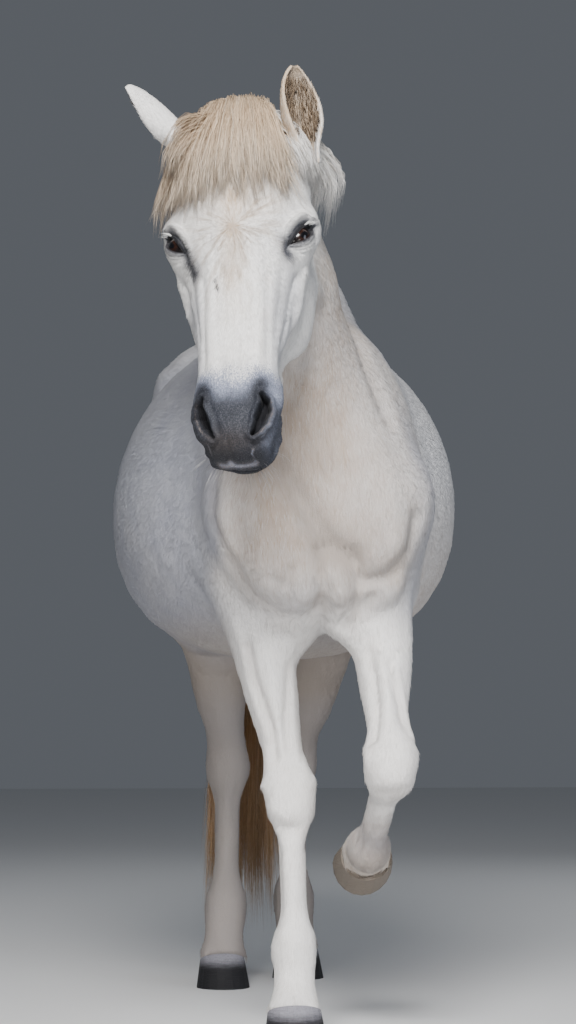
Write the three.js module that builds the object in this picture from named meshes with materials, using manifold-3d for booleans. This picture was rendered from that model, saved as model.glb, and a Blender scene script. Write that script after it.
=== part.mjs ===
// A white native pony, life size, walking with its left foreleg lifted and its head bent to its right.
// Millimetres, +Z up, the pony faces -Y and its left side is +X.
//
// The flesh is one smooth form, a blend of round-ended cones and ellipsoids set on named joints. Each node
// is a three.js capsule or cylinder whose vertices are pushed out along their own rays until they meet that
// form, and thin plane cuts part the nodes from each other. Hair is built of tapered locks.

import * as THREE from 'three';
import { mergeVertices } from 'three/addons/utils/BufferGeometryUtils.js';
import Module from 'manifold-3d';

const wasm = await Module();
wasm.setup();

// ---------------------------------------------------------------------------------------------------
// Driving dimensions

const GAP = 0.3; // clearance that touching nodes keep

const BELLY_HALF_WIDTH = 293;
const BELLY_BOTTOM = 608;
const BACK_HEIGHT = 1180;
const WITHERS_HEIGHT = 1268;
const CROUP_HEIGHT = 1262;
const EYE_RADIUS = 22;
const LID = { thickness: 4.5, slitLength: 46, slitHeight: 15 };
const EAR_WIDTH = 61;
const NOSTRIL = { halfWidth: 8, halfLength: 27, depth: 18, x: 38, y: 464, z: -24 };
const MOUTH = { cornerY: 432, z: -96, tilt: 0.03, gape: 3, innerHalfWidth: 38, innerLength: 92 };

const HOOF = { halfWidth: 50, toe: 55, heel: 40, toeHeight: 64, heelHeight: 36, wallAngle: 57 };

// Joints of the standing and lifted legs, x to the pony's left, y backward, z up
const FORELEGS = {
  right: {
    side: -1,
    elbow: [-96, 112, 712],
    knee: [-46, 60, 383],
    fetlock: [-38, 64, 147],
    sole: [-43, 0, 0],
    hoofTurn: 0,
  },
  left: {
    side: 1,
    elbow: [88, 78, 738],
    knee: [96, -78, 430],
    fetlock: [83, 98, 292],
    sole: [93, 256, 266],
    hoofTurn: 101,
  },
};
const HINDLEGS = {
  right: {
    side: -1,
    hip: [-98, 985, 985],
    stifle: [-134, 800, 738],
    hock: [-74, 1015, 425],
    fetlock: [-80, 972, 150],
    sole: [-90, 908, 0],
  },
  left: {
    side: 1,
    hip: [98, 985, 985],
    stifle: [118, 886, 718],
    hock: [70, 1152, 430],
    fetlock: [66, 1144, 150],
    sole: [68, 1080, 0],
  },
};

const POLL = new THREE.Vector3(-163, -292, 1390);
const MUZZLE_END = new THREE.Vector3(-177, -468, 868);
const FACE_YAW = THREE.MathUtils.degToRad(14); // the face looks this far to the pony's right of -Y

// Planes where the nodes part
const FORELEG_CUT_HEIGHT = 652;
const ELBOW_CUT_BACK = 238; // the belly starts behind this plane
const MIDLINE = 4; // x of the plane between the left and right legs
const THIGH_CUT = { at: [0, 750, 628], rise: 0.5 };
const NECK_BASE_CUT = { at: [0, 62, 1085], normal: [-0.12, -0.8, 0.56] };

const COAT = { color: 0xd9d5cd, roughness: 0.82, metalness: 0 };
const FORELOCK_COLOUR = { color: 0xcdb698, roughness: 0.7, metalness: 0 };
const MANE_COLOUR = { color: 0xcfc8bd, roughness: 0.7, metalness: 0 };
const TAIL_COLOUR = { color: 0x9a6a3c, roughness: 0.7, metalness: 0 };
const DARK_HORN = { color: 0x3a383b, roughness: 0.5, metalness: 0 };
const PALE_HORN = { color: 0xa89d90, roughness: 0.6, metalness: 0 };
const EYE_COLOUR = { color: 0x1c1210, roughness: 0.08, metalness: 0 };

// ---------------------------------------------------------------------------------------------------
// Vectors and the smooth form: a field is a function of a point, negative inside

const vec = (x, y, z) => new THREE.Vector3(x, y, z);
const point = (list) => new THREE.Vector3(...list);
const mix = THREE.MathUtils.lerp;
const clamp = THREE.MathUtils.clamp;

// A cone with round ends
function cone(a, b, radiusA, radiusB) {
  const axis = b.clone().sub(a);
  const lengthSq = axis.lengthSq();
  return (p) => {
    const ax = p.x - a.x;
    const ay = p.y - a.y;
    const az = p.z - a.z;
    const t = clamp((ax * axis.x + ay * axis.y + az * axis.z) / lengthSq, 0, 1);
    const gap = Math.hypot(ax - axis.x * t, ay - axis.y * t, az - axis.z * t);
    return gap - mix(radiusA, radiusB, t);
  };
}

// An ellipsoid, squarer as its power rises above 2
function blob(centre, radii, power = 2) {
  return (p) => {
    const x = p.x - centre.x;
    const y = p.y - centre.y;
    const z = p.z - centre.z;
    const sum = Math.abs(x / radii[0]) ** power + Math.abs(y / radii[1]) ** power
      + Math.abs(z / radii[2]) ** power;
    const q = Math.max(sum ** (1 / power), 0.05);
    return (1 - 1 / q) * Math.hypot(x, y, z);
  };
}

// A field given in a frame of its own
function placed(field, matrix) {
  const inverse = matrix.clone().invert();
  const local = vec(0, 0, 0);
  return (p) => field(local.copy(p).applyMatrix4(inverse));
}

// Blends fields with a soft seam of the given width
function blend(softness, fields) {
  return (p) => {
    let best = fields[0](p);
    for (let i = 1; i < fields.length; i += 1) {
      const other = fields[i](p);
      const near = Math.max(softness - Math.abs(best - other), 0) / softness;
      best = Math.min(best, other) - near * near * softness * 0.25;
    }
    return best;
  };
}

// Places points beside a bone: t along it, then forward of it and outward from the body's middle
function beside(a, b, side) {
  const along = b.clone().sub(a).normalize();
  const fore = vec(0, along.z, -along.y).normalize();
  return (t, forward = 0, outward = 0) => a.clone().lerp(b, t)
    .addScaledVector(fore, forward).add(vec(side * outward, 0, 0));
}

// ---------------------------------------------------------------------------------------------------
// Hooves' own frames: origin at the sole's middle, toe to -Y, up +Z, turned about X for a lifted foot

function hoofFrame(leg) {
  const turn = THREE.MathUtils.degToRad(leg.hoofTurn ?? 0);
  return new THREE.Matrix4().makeTranslation(...leg.sole).multiply(new THREE.Matrix4().makeRotationX(turn));
}
const WALL_SLOPE = Math.tan(THREE.MathUtils.degToRad(HOOF.wallAngle));
const CORONET = {
  front: -HOOF.toe + HOOF.toeHeight / WALL_SLOPE,
  back: HOOF.heel + HOOF.heelHeight / WALL_SLOPE - 4,
  halfWidth: HOOF.halfWidth - 8,
};
CORONET.middle = (CORONET.front + CORONET.back) / 2;
CORONET.halfLength = (CORONET.back - CORONET.front) / 2;
const CORONET_FALL = (HOOF.toeHeight - HOOF.heelHeight) / (CORONET.back - CORONET.front);
const coronetHeight = (y) => HOOF.toeHeight - (y - CORONET.front) * CORONET_FALL;

// ---------------------------------------------------------------------------------------------------
// Limbs

// Below the knee or hock all four legs are alike, but for their thickness
function lowerLeg(leg, top, thick) {
  const fetlock = point(leg.fetlock);
  const frame = hoofFrame(leg);
  const inHoof = (x, y, z) => vec(x, y, z).applyMatrix4(frame);
  const cannon = beside(top, fetlock, leg.side);
  const coronet = inHoof(0, CORONET.middle - 2, coronetHeight(CORONET.middle) - 4);
  const pastern = beside(fetlock, coronet, leg.side);
  return [
    cone(cannon(0.05, 8), cannon(0.9, 7), 21 * thick, 18.5 * thick),
    cone(cannon(0.1, -19), cannon(0.95, -15), 15 * thick, 13 * thick),
    blob(cannon(0.97, 2), [31 * thick, 33 * thick, 35 * thick]),
    cone(cannon(1.0, -20, 9), cannon(1.0, -20, -9), 17 * thick, 17 * thick),
    cone(pastern(0.1, 0), pastern(0.75, 0), 25 * thick, 26 * thick),
    cone(pastern(0.2, -12, 10), pastern(0.9, -14, 10), 18 * thick, 20 * thick),
    cone(pastern(0.2, -12, -10), pastern(0.9, -14, -10), 18 * thick, 20 * thick),
    placed(blob(vec(0, CORONET.middle, coronetHeight(CORONET.middle) - 2),
      [CORONET.halfWidth, CORONET.halfLength, 24], 2.3), frame),
  ];
}

function foreleg(leg) {
  const elbow = point(leg.elbow);
  const knee = point(leg.knee);
  const arm = beside(elbow, knee, leg.side);
  const shin = beside(knee, point(leg.fetlock), leg.side);
  return blend(22, [
    cone(arm(-0.05, 0, 4), arm(0.9, 2), 58, 27),
    cone(arm(0.08, 30, 8), arm(0.62, 15, 5), 40, 25),
    cone(arm(0.0, -44, 2), arm(0.72, -16, 0), 44, 22),
    cone(arm(0.12, 0, 26), arm(0.55, 0, 12), 34, 22),
    blob(knee.clone(), [38, 38, 45]),
    cone(arm(0.93, 6, 20), arm(0.93, 6, -20), 22, 22),
    cone(shin(0.12, 8, 17), shin(0.12, 8, -17), 19, 19),
    cone(arm(0.97, -32, 3), shin(0.1, -28, 3), 15, 13),
    ...lowerLeg(leg, knee, 1),
  ]);
}

function hindleg(leg) {
  const stifle = point(leg.stifle);
  const hock = point(leg.hock);
  const shin = beside(hock, point(leg.fetlock), leg.side);
  const gaskin = beside(stifle, hock, leg.side);
  const heelPoint = shin(-0.12, -52, 0);
  return blend(30, [
    cone(point(leg.hip), gaskin(-0.06, 2, -22), 124, 82),
    cone(vec(leg.side * 92, 1105, 950), gaskin(0.16, -92, -18), 98, 70),
    cone(gaskin(0, 6, -16), gaskin(0.93, 2), 72, 31),
    cone(gaskin(0.15, 16, -4), gaskin(0.65, 10, 4), 50, 30),
    cone(gaskin(0.16, -92, -18), gaskin(0.66, -38, 0), 66, 26),
    cone(gaskin(0.55, -48, 0), heelPoint, 17, 17),
    cone(heelPoint, shin(0.12, -30), 17, 16),
    blob(hock.clone(), [37, 42, 48]),
    cone(shin(0.1, 8, 14), shin(0.1, 8, -14), 23, 22),
    ...lowerLeg(leg, hock, 1.08),
  ]);
}

const legFields = {
  foreRight: foreleg(FORELEGS.right),
  foreLeft: foreleg(FORELEGS.left),
  hindRight: hindleg(HINDLEGS.right),
  hindLeft: hindleg(HINDLEGS.left),
};

// ---------------------------------------------------------------------------------------------------
// Trunk

const bothSides = (make) => [make(-1), make(1)];

// The barrel narrows towards the back, is round at the belly and full towards its ends
function barrel(centre, halfWidth, halfLength, up, down) {
  const fullness = 2.6;
  return (p) => {
    const above = p.z > centre.z;
    const roundness = above ? 1.95 : 2.4;
    const across = Math.abs((p.x - centre.x) / halfWidth) ** roundness;
    const upright = Math.abs((p.z - centre.z) / (above ? up : down)) ** roundness;
    const around = (across + upright) ** (fullness / roundness);
    const along = Math.abs((p.y - centre.y) / halfLength) ** fullness;
    const q = Math.max((around + along) ** (1 / fullness), 0.05);
    return (1 - 1 / q) * p.distanceTo(centre);
  };
}

const BARREL_MIDDLE = BELLY_BOTTOM + 258;
const BARREL_SWING = -16; // the barrel swings this far to the right in the stride
const trunk = blend(75, [
  barrel(vec(BARREL_SWING, 570, BARREL_MIDDLE), BELLY_HALF_WIDTH, 500, BACK_HEIGHT - BARREL_MIDDLE,
    BARREL_MIDDLE - BELLY_BOTTOM),
  blob(vec(-6, 165, 895), [158, 255, 252], 2.2),
  cone(vec(-14, 140, WITHERS_HEIGHT - 46), vec(-8, 320, WITHERS_HEIGHT - 88), 36, 46),
  cone(vec(-8, 330, BACK_HEIGHT - 78), vec(0, 800, BACK_HEIGHT - 60), 84, 108),
  blob(vec(0, 915, CROUP_HEIGHT - 205), [206, 265, 203], 2.1),
  blob(vec(0, 1050, 1060), [150, 130, 130], 2.1),
  cone(vec(0, 1060, CROUP_HEIGHT - 92), vec(0, 1185, CROUP_HEIGHT - 130), 66, 42),
  ...bothSides((side) => blob(vec(side * 66 - 6, -22, 775), [72, 74, 112])),
  ...bothSides((side) => cone(vec(side * 38 - 16, 200, 1110), vec(side * 100 - 4, 0, 850), 50, 62)),
  ...bothSides((side) => cone(vec(side * 96 - 6, 10, 840), vec(side * 92, 110, 722), 60, 56)),
  ...bothSides((side) => blob(vec(side * 104 - 8, 150, 840), [52, 112, 125])),
  ...bothSides((side) => blob(vec(side * 172, 845, CROUP_HEIGHT - 150), [46, 62, 52])),
  ...bothSides((side) => cone(vec(side * 104, 1010, 1000), vec(side * 88, 1118, 960), 116, 96)),
]);

// The neck bends to the pony's right; crest, middle and underline run from the trunk to the poll
const neck = blend(60, [
  cone(vec(-16, 150, 1196), vec(-74, -30, 1281), 46, 44),
  cone(vec(-74, -30, 1281), vec(-150, -212, 1336), 44, 42),
  cone(vec(-24, 90, 1040), vec(-80, -55, 1172), 102, 76),
  cone(vec(-76, -55, 1172), vec(-140, -190, 1270), 78, 68),
  cone(vec(-10, 8, 925), vec(-52, -38, 1050), 92, 70),
  cone(vec(-52, -38, 1050), vec(-116, -120, 1176), 70, 56),
]);

// ---------------------------------------------------------------------------------------------------
// Head, in its own frame: x to the pony's right, y down the face from the poll, z out of the face

const headFrame = (() => {
  const down = MUZZLE_END.clone().sub(POLL).normalize();
  const look = vec(-Math.sin(FACE_YAW), -Math.cos(FACE_YAW), 0);
  const out = look.addScaledVector(down, -look.dot(down)).normalize();
  const right = down.clone().cross(out);
  return new THREE.Matrix4().makeBasis(right, down, out).setPosition(POLL);
})();
const onHead = (x, y, z) => vec(x, y, z).applyMatrix4(headFrame);

const EYE = { x: 78, y: 196, z: -52 }; // centre of the right eyeball in the head's frame
const skull = blend(26, [
  blob(vec(0, 84, -92), [80, 112, 84]),
  blob(vec(0, 168, -58), [82, 112, 54], 2.2),
  cone(vec(0, 105, -70), vec(0, 200, -58), 74, 66),
  ...bothSides((side) => cone(vec(side * 62, 162, -46), vec(side * 89, 176, -62), 26, 20)),
  ...bothSides((side) => blob(vec(side * 74, 205, -64), [26, 32, 32])),
  ...bothSides((side) => cone(vec(side * 60, 95, -78), vec(side * 84, 172, -72), 26, 22)),
  cone(vec(0, 205, -50), vec(0, 400, -38), 50, 34),
  ...bothSides((side) => cone(vec(side * 42, 235, -52), vec(side * 27, 400, -40), 32, 25)),
  cone(vec(0, 225, -105), vec(0, 412, -78), 68, 45),
  ...bothSides((side) => cone(vec(side * 78, 232, -92), vec(side * 56, 330, -80), 14, 10)),
  ...bothSides((side) => blob(vec(side * 60, 225, -150), [33, 98, 86])),
  ...bothSides((side) => cone(vec(side * 52, 178, -200), vec(side * 22, 402, -120), 36, 27)),
  blob(vec(0, 455, -60), [50, 62, 48], 2.2),
  ...bothSides((side) => blob(vec(side * 40, 450, -42), [24, 42, 30])),
  blob(vec(0, 500, -60), [46, 36, 40], 2.3),
  cone(vec(-18, 482, -108), vec(18, 482, -108), 25, 25),
  blob(vec(0, 500, -106), [35, 29, 26]),
]);
const head = placed(skull, headFrame);

const frontBody = blend(55, [trunk, neck]);
const body = blend(45, [frontBody, ...Object.values(legFields)]);
const flesh = blend(34, [frontBody, head]);

// ---------------------------------------------------------------------------------------------------
// Solids

function toManifold(geometry) {
  const plain = geometry.clone();
  plain.deleteAttribute('normal');
  plain.deleteAttribute('uv');
  const welded = mergeVertices(plain, 1e-4);
  return new wasm.Manifold(new wasm.Mesh({
    numProp: 3,
    vertProperties: new Float32Array(welded.attributes.position.array),
    triVerts: new Uint32Array(welded.index.array),
  }));
}

function toGeometry(solid) {
  const mesh = solid.getMesh();
  const geometry = new THREE.BufferGeometry();
  geometry.setAttribute('position', new THREE.BufferAttribute(Float32Array.from(mesh.vertProperties), 3));
  geometry.setIndex(new THREE.BufferAttribute(Uint32Array.from(mesh.triVerts), 1));
  return geometry;
}

function largest(solid) {
  return solid.decompose().reduce((a, b) => (b.volume() > a.volume() ? b : a));
}

const FUSE_TOLERANCE = 0.15; // shorter edges left by the joins are drawn together
const fuse = (solids) => solids.reduce((a, b) => a.add(b)).simplify(FUSE_TOLERANCE);

// Takes away everything on the side that the normal points to
function slice(solid, at, normal, gap = GAP / 2) {
  const size = 4000;
  const box = new THREE.BoxGeometry(size, size, size);
  const turn = new THREE.Quaternion().setFromUnitVectors(vec(0, 0, 1), normal.clone().normalize());
  box.translate(0, 0, size / 2 - gap);
  box.applyQuaternion(turn);
  box.translate(at.x, at.y, at.z);
  return solid.subtract(toManifold(box));
}

// Distance along a ray from inside the field to its surface
function reachSurface(field, origin, direction, furthest) {
  const step = 7;
  const at = (distance) => field(origin.clone().addScaledVector(direction, distance));
  let inside = 0;
  let outside = furthest;
  for (let distance = step; distance <= furthest; distance += step) {
    if (at(distance) > 0) {
      outside = distance;
      break;
    }
    inside = distance;
  }
  for (let i = 0; i < 12; i += 1) {
    const middle = (inside + outside) / 2;
    if (at(middle) > 0) outside = middle;
    else inside = middle;
  }
  return inside;
}

// Makes a triangle mesh face outward
function faceOut(geometry) {
  const position = geometry.attributes.position;
  const index = geometry.index.array;
  const a = vec(0, 0, 0);
  const b = vec(0, 0, 0);
  const c = vec(0, 0, 0);
  let volume = 0;
  for (let i = 0; i < index.length; i += 3) {
    a.fromBufferAttribute(position, index[i]);
    b.fromBufferAttribute(position, index[i + 1]);
    c.fromBufferAttribute(position, index[i + 2]);
    volume += a.dot(b.cross(c));
  }
  if (volume < 0) {
    for (let i = 0; i < index.length; i += 3) {
      [index[i], index[i + 1]] = [index[i + 1], index[i]];
    }
  }
  return geometry;
}

// Pushes a unit capsule round a line of points out to the field. The capsule's height runs along the line.
function wrapCapsule(field, line, radial, rings, capRings, furthest, grow = 0) {
  const curve = new THREE.CatmullRomCurve3(line, false, 'centripetal');
  const height = 10;
  const shell = new THREE.CapsuleGeometry(1, height, capRings, radial, rings);
  const position = shell.attributes.position;
  const raw = vec(0, 0, 0);
  for (let i = 0; i < position.count; i += 1) {
    raw.fromBufferAttribute(position, i);
    const along = clamp(raw.y, -height / 2, height / 2);
    const origin = curve.getPointAt(along / height + 0.5);
    const tangent = curve.getTangentAt(along / height + 0.5);
    const side = vec(1, 0, 0).addScaledVector(tangent, -tangent.x).normalize();
    const front = tangent.clone().cross(side);
    const direction = side.multiplyScalar(raw.x).addScaledVector(front, raw.z)
      .addScaledVector(tangent, raw.y - along).normalize();
    const distance = reachSurface(field, origin, direction, furthest) + grow;
    position.setXYZ(i, ...origin.addScaledVector(direction, distance));
  }
  shell.deleteAttribute('normal');
  shell.deleteAttribute('uv');
  return faceOut(mergeVertices(shell, 1e-3));
}

const model = new THREE.Group();
function addNode(name, shape, look) {
  const geometry = shape.isBufferGeometry ? shape : toGeometry(shape);
  const mesh = new THREE.Mesh(geometry, new THREE.MeshStandardMaterial(look));
  mesh.name = name;
  model.add(mesh);
}

// ---------------------------------------------------------------------------------------------------
// Flesh nodes. Each is made by a function of how far to grow it, so that a grown copy can clear the nodes
// that lie on it.

const UP = vec(0, 0, 1);
const thighNormal = vec(0, THIGH_CUT.rise, -1).normalize();
const neckCut = { at: point(NECK_BASE_CUT.at), normal: point(NECK_BASE_CUT.normal).normalize() };

// The head's share: ahead of a plane from behind the ears to the throat, and above the jaw's underside
const HEAD_SHARE = { back: [-44, -104], throat: [172, -246], deepest: -256 };
const headCut = (() => {
  const top = onHead(0, ...HEAD_SHARE.back);
  const throat = onHead(0, ...HEAD_SHARE.throat);
  const across = vec(1, 0, 0).transformDirection(headFrame);
  return { at: top, normal: throat.clone().sub(top).cross(across).normalize() };
})();

function headShare(grow) {
  const height = 800;
  const room = new THREE.BoxGeometry(900, 1800, height);
  room.translate(0, 300, HEAD_SHARE.deepest + height / 2 - grow);
  room.applyMatrix4(headFrame);
  return slice(toManifold(room), headCut.at, headCut.normal, -grow);
}

function torso(grow) {
  const line = [vec(0, 60, 895), vec(0, 400, 900), vec(0, 700, 905), vec(0, 1010, 985)];
  let solid = toManifold(wrapCapsule(body, line, 34, 18, 8, 430, grow));
  solid = slice(solid, neckCut.at, neckCut.normal, GAP / 2 - grow);
  const size = 1600;
  const foreBox = new THREE.BoxGeometry(size, size, size);
  foreBox.translate(0, ELBOW_CUT_BACK + grow - size / 2, FORELEG_CUT_HEIGHT + GAP / 2 - grow - size / 2);
  const hindBox = new THREE.BoxGeometry(size, size, size);
  hindBox.translate(0, 0, size / 2 - GAP / 2 + grow);
  hindBox.applyQuaternion(new THREE.Quaternion().setFromUnitVectors(UP, thighNormal));
  hindBox.translate(...THIGH_CUT.at);
  return largest(solid.subtract(toManifold(foreBox)).subtract(toManifold(hindBox)));
}

function neckNode(grow) {
  const line = [vec(0, 190, 930), vec(-22, 60, 1065), vec(-72, -70, 1180), vec(-150, -225, 1280)];
  let solid = toManifold(wrapCapsule(flesh, line, 28, 16, 5, 330, grow));
  solid = slice(solid, neckCut.at, neckCut.normal.clone().negate(), GAP / 2 - grow);
  return largest(solid.subtract(headShare(GAP / 2 - grow)));
}

function headBlank(grow) {
  const line = [onHead(0, 62, -120), onHead(0, 205, -105), onHead(0, 362, -74), onHead(0, 478, -72)];
  const solid = toManifold(wrapCapsule(flesh, line, 30, 21, 6, 260, grow));
  return largest(solid.intersect(headShare(grow - GAP / 2)));
}

function legNodes(name, leg, topLine, top, joint) {
  const fetlock = point(leg.fetlock);
  const frame = hoofFrame(leg);
  const coronet = vec(0, CORONET.middle, coronetHeight(CORONET.middle)).applyMatrix4(frame);
  const coronetUp = vec(0, CORONET_FALL, 1).transformDirection(frame);
  const shinDown = fetlock.clone().sub(joint).normalize();
  const armDown = joint.clone().sub(topLine[0]).normalize();
  const jointNormal = shinDown.clone().add(armDown).normalize();

  const upperLine = [...topLine, joint.clone().addScaledVector(armDown, 10)];
  let upper = toManifold(wrapCapsule(body, upperLine, 18, 13, 3, 230));
  upper = slice(upper, top.at, top.normal);
  upper = slice(upper, vec(MIDLINE, 0, 0), vec(-leg.side, 0, 0));
  upper = top.back ? slice(upper, top.back, vec(0, 1, 0), GAP) : upper;
  upper = slice(upper, joint, jointNormal);
  addNode(`${name}_upper`, largest(upper), COAT);

  const inHoof = coronet.clone().addScaledVector(coronetUp, -14);
  const lowerLine = [joint.clone().addScaledVector(shinDown, -10), joint.clone().lerp(fetlock, 0.45),
    fetlock, inHoof];
  let lower = toManifold(wrapCapsule(body, lowerLine, 13, 18, 3, 90));
  lower = slice(lower, joint, jointNormal.clone().negate());
  lower = slice(lower, coronet, coronetUp.clone().negate());
  addNode(`${name}_lower`, largest(lower), COAT);
}

function forelegNodes(name, leg) {
  const elbow = point(leg.elbow);
  const knee = point(leg.knee);
  const topLine = [elbow.clone().lerp(knee, -0.05), elbow.clone().lerp(knee, 0.5)];
  const top = { at: vec(0, 0, FORELEG_CUT_HEIGHT), normal: UP, back: vec(0, ELBOW_CUT_BACK, 0) };
  legNodes(name, leg, topLine, top, knee);
}

function hindlegNodes(name, leg) {
  const hock = point(leg.hock);
  const gaskin = beside(point(leg.stifle), hock, leg.side);
  const topLine = [vec(leg.side * 104, 1010, 930), gaskin(0.0, -62, -14), gaskin(0.5, -16)];
  const top = { at: point(THIGH_CUT.at), normal: thighNormal.clone().negate() };
  legNodes(name, leg, topLine, top, hock);
}

// ---------------------------------------------------------------------------------------------------
// Hooves: a wall flaring from the coronet to the sole, in the hoof's own frame

function hoof(leg) {
  const shell = new THREE.CylinderGeometry(1, 1, 1, 20, 2);
  shell.rotateX(Math.PI / 2);
  const position = shell.attributes.position;
  for (let i = 0; i < position.count; i += 1) {
    const up = position.getZ(i) + 0.5;
    const x = position.getX(i);
    const y = position.getY(i);
    const heelward = Math.max(y, 0);
    const soleY = y < 0 ? y * HOOF.toe : y * HOOF.heel;
    const soleX = x * HOOF.halfWidth * (1 - 0.12 * heelward * heelward);
    const topY = CORONET.middle + y * CORONET.halfLength;
    const topX = x * CORONET.halfWidth;
    const place = vec(mix(soleX, topX, up), mix(soleY, topY, up), up * (coronetHeight(topY) - GAP / 2));
    place.applyMatrix4(hoofFrame(leg));
    position.setXYZ(i, ...place);
  }
  shell.deleteAttribute('normal');
  shell.deleteAttribute('uv');
  return faceOut(mergeVertices(shell, 1e-3));
}

// ---------------------------------------------------------------------------------------------------
// Eyes, lids, nostrils and mouth

function eyeFrame(side) {
  const out = vec(side * 0.66, 0.02, 0.75).normalize();
  const slit = vec(side * -0.58, 0.66, 0.4);
  slit.addScaledVector(out, -slit.dot(out)).normalize();
  const across = out.clone().cross(slit);
  const inHead = new THREE.Matrix4().makeBasis(slit, across, out).setPosition(side * EYE.x, EYE.y, EYE.z);
  return headFrame.clone().multiply(inHead);
}

function ball(radius, across, up) {
  const sphere = new THREE.SphereGeometry(radius, across, up);
  sphere.rotateX(Math.PI / 2);
  return sphere;
}

// An almond prism standing on the eye's middle and widening outward
function lidOpening(side) {
  const half = LID.slitLength / 2;
  const outline = new THREE.Shape();
  outline.moveTo(-half, 0);
  outline.quadraticCurveTo(0, LID.slitHeight, half, 0);
  outline.quadraticCurveTo(0, -LID.slitHeight, -half, 0);
  const prism = new THREE.ExtrudeGeometry(outline, { depth: 60, bevelEnabled: false, curveSegments: 5 });
  prism.translate(0, 0, 6);
  prism.applyMatrix4(eyeFrame(side));
  return toManifold(prism);
}

function nostrilCutter(side) {
  const cutter = new THREE.SphereGeometry(1, 10, 6);
  cutter.scale(NOSTRIL.halfWidth, NOSTRIL.halfLength, NOSTRIL.depth);
  cutter.rotateY(side * -0.55);
  cutter.rotateZ(side * 0.3);
  cutter.translate(side * NOSTRIL.x, NOSTRIL.y, NOSTRIL.z);
  cutter.applyMatrix4(headFrame);
  return toManifold(cutter);
}

// A thin horseshoe blade between the lips: it cuts only the rim of the muzzle
function mouthCutter() {
  const steps = 10;
  const arc = (halfWidth, length) => Array.from({ length: steps + 1 }, (_, i) => {
    const angle = (i / steps) * Math.PI;
    return new THREE.Vector2(halfWidth * Math.cos(angle), length * Math.sin(angle));
  });
  const inner = arc(MOUTH.innerHalfWidth, MOUTH.innerLength).reverse();
  const blade = new THREE.Shape([...arc(90, 125), ...inner]);
  const plate = new THREE.ExtrudeGeometry(blade, { depth: MOUTH.gape, bevelEnabled: false });
  plate.rotateX(MOUTH.tilt);
  plate.translate(0, MOUTH.cornerY, MOUTH.z);
  plate.applyMatrix4(headFrame);
  return toManifold(plate);
}

function headNode() {
  let solid = headBlank(0);
  for (const side of [-1, 1]) {
    const lids = ball(EYE_RADIUS + LID.thickness, 12, 9);
    lids.applyMatrix4(eyeFrame(side));
    solid = solid.add(toManifold(lids));
    solid = solid.subtract(lidOpening(side));
    const socket = ball(EYE_RADIUS + GAP, 12, 8);
    socket.applyMatrix4(eyeFrame(side));
    solid = solid.subtract(toManifold(socket));
    solid = solid.subtract(nostrilCutter(side));
  }
  return largest(solid.subtract(mouthCutter()));
}

function eyeNode(side) {
  const eye = ball(EYE_RADIUS, 12, 8);
  eye.applyMatrix4(eyeFrame(side));
  return eye;
}

// ---------------------------------------------------------------------------------------------------
// Ears: a leaf bent round into a cup, from a box whose width, length and depth become the leaf's

function earLeaf({ base, tip, open, twist }) {
  const axis = tip.clone().sub(base);
  const length = axis.length();
  axis.normalize();
  const front = open.clone().addScaledVector(axis, -open.dot(axis)).normalize();
  const across = axis.clone().cross(front);
  const frame = new THREE.Matrix4().makeBasis(across, axis, front).setPosition(base);
  const shell = new THREE.BoxGeometry(2, 1, 1, 8, 8, 1);
  const position = shell.attributes.position;
  for (let i = 0; i < position.count; i += 1) {
    const up = position.getY(i) + 0.5;
    const wide = Math.sin(Math.PI * (0.05 + 0.95 * up)) ** 0.72 + 0.05;
    const half = (EAR_WIDTH / 2) * wide;
    const reach = mix(2.5, 0.95, Math.min(up * 1.15, 1));
    const radius = half / Math.sin(Math.min(reach, Math.PI / 2));
    const angle = position.getX(i) * reach;
    const skin = position.getZ(i) * mix(9, 3.4, Math.min(up * 1.5, 1));
    const place = vec((radius + skin) * Math.sin(angle), up * length,
      radius * 0.75 - (radius + skin) * Math.cos(angle));
    place.x += twist * up * up * 14;
    place.applyMatrix4(frame);
    position.setXYZ(i, ...place);
  }
  shell.deleteAttribute('normal');
  shell.deleteAttribute('uv');
  return faceOut(mergeVertices(shell, 1e-3));
}

const EARS = {
  left: { base: vec(-66, -276, 1345), tip: vec(-72, -292, 1466), open: vec(0.12, -0.95, 0), twist: -0.3 },
  right: { base: vec(-234, -276, 1350), tip: vec(-321, -280, 1428), open: vec(-0.3, 0.3, -0.9), twist: 0 },
};

// ---------------------------------------------------------------------------------------------------
// Hair

const random = (() => {
  let seed = 21;
  return () => {
    seed = (seed * 16807) % 2147483647;
    return seed / 2147483647;
  };
})();
const vary = (spread) => (random() * 2 - 1) * spread;

const LOCK_STEPS = 3;
// A flat lock of four sides, rooted at the route's start and tapering to its end. Its face looks away from
// the given middle.
function lock(route, width, thickness, middle) {
  const curve = new THREE.CatmullRomCurve3(route, false, 'centripetal');
  const shape = new THREE.ConeGeometry(1, 1, 4, LOCK_STEPS);
  const position = shape.attributes.position;
  const twist = vary(0.35);
  for (let i = 0; i < position.count; i += 1) {
    const t = position.getY(i) + 0.5;
    const tangent = curve.getTangentAt(t);
    const away = curve.getPointAt(t).sub(middle);
    const face = away.addScaledVector(tangent, -away.dot(tangent)).normalize().applyAxisAngle(tangent, twist * t);
    const side = tangent.cross(face);
    const shrink = Math.max(1 - t, 1e-6);
    const full = (1 - t) ** 0.55 * Math.min(1, 0.7 + 1.2 * t);
    const place = curve.getPointAt(t)
      .addScaledVector(side, (position.getX(i) / shrink) * (width / 2) * full)
      .addScaledVector(face, (position.getZ(i) / shrink) * (thickness / 2) * full);
    position.setXYZ(i, ...place);
  }
  shape.deleteAttribute('normal');
  shape.deleteAttribute('uv');
  return toManifold(faceOut(mergeVertices(shape, 1e-3)));
}

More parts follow.
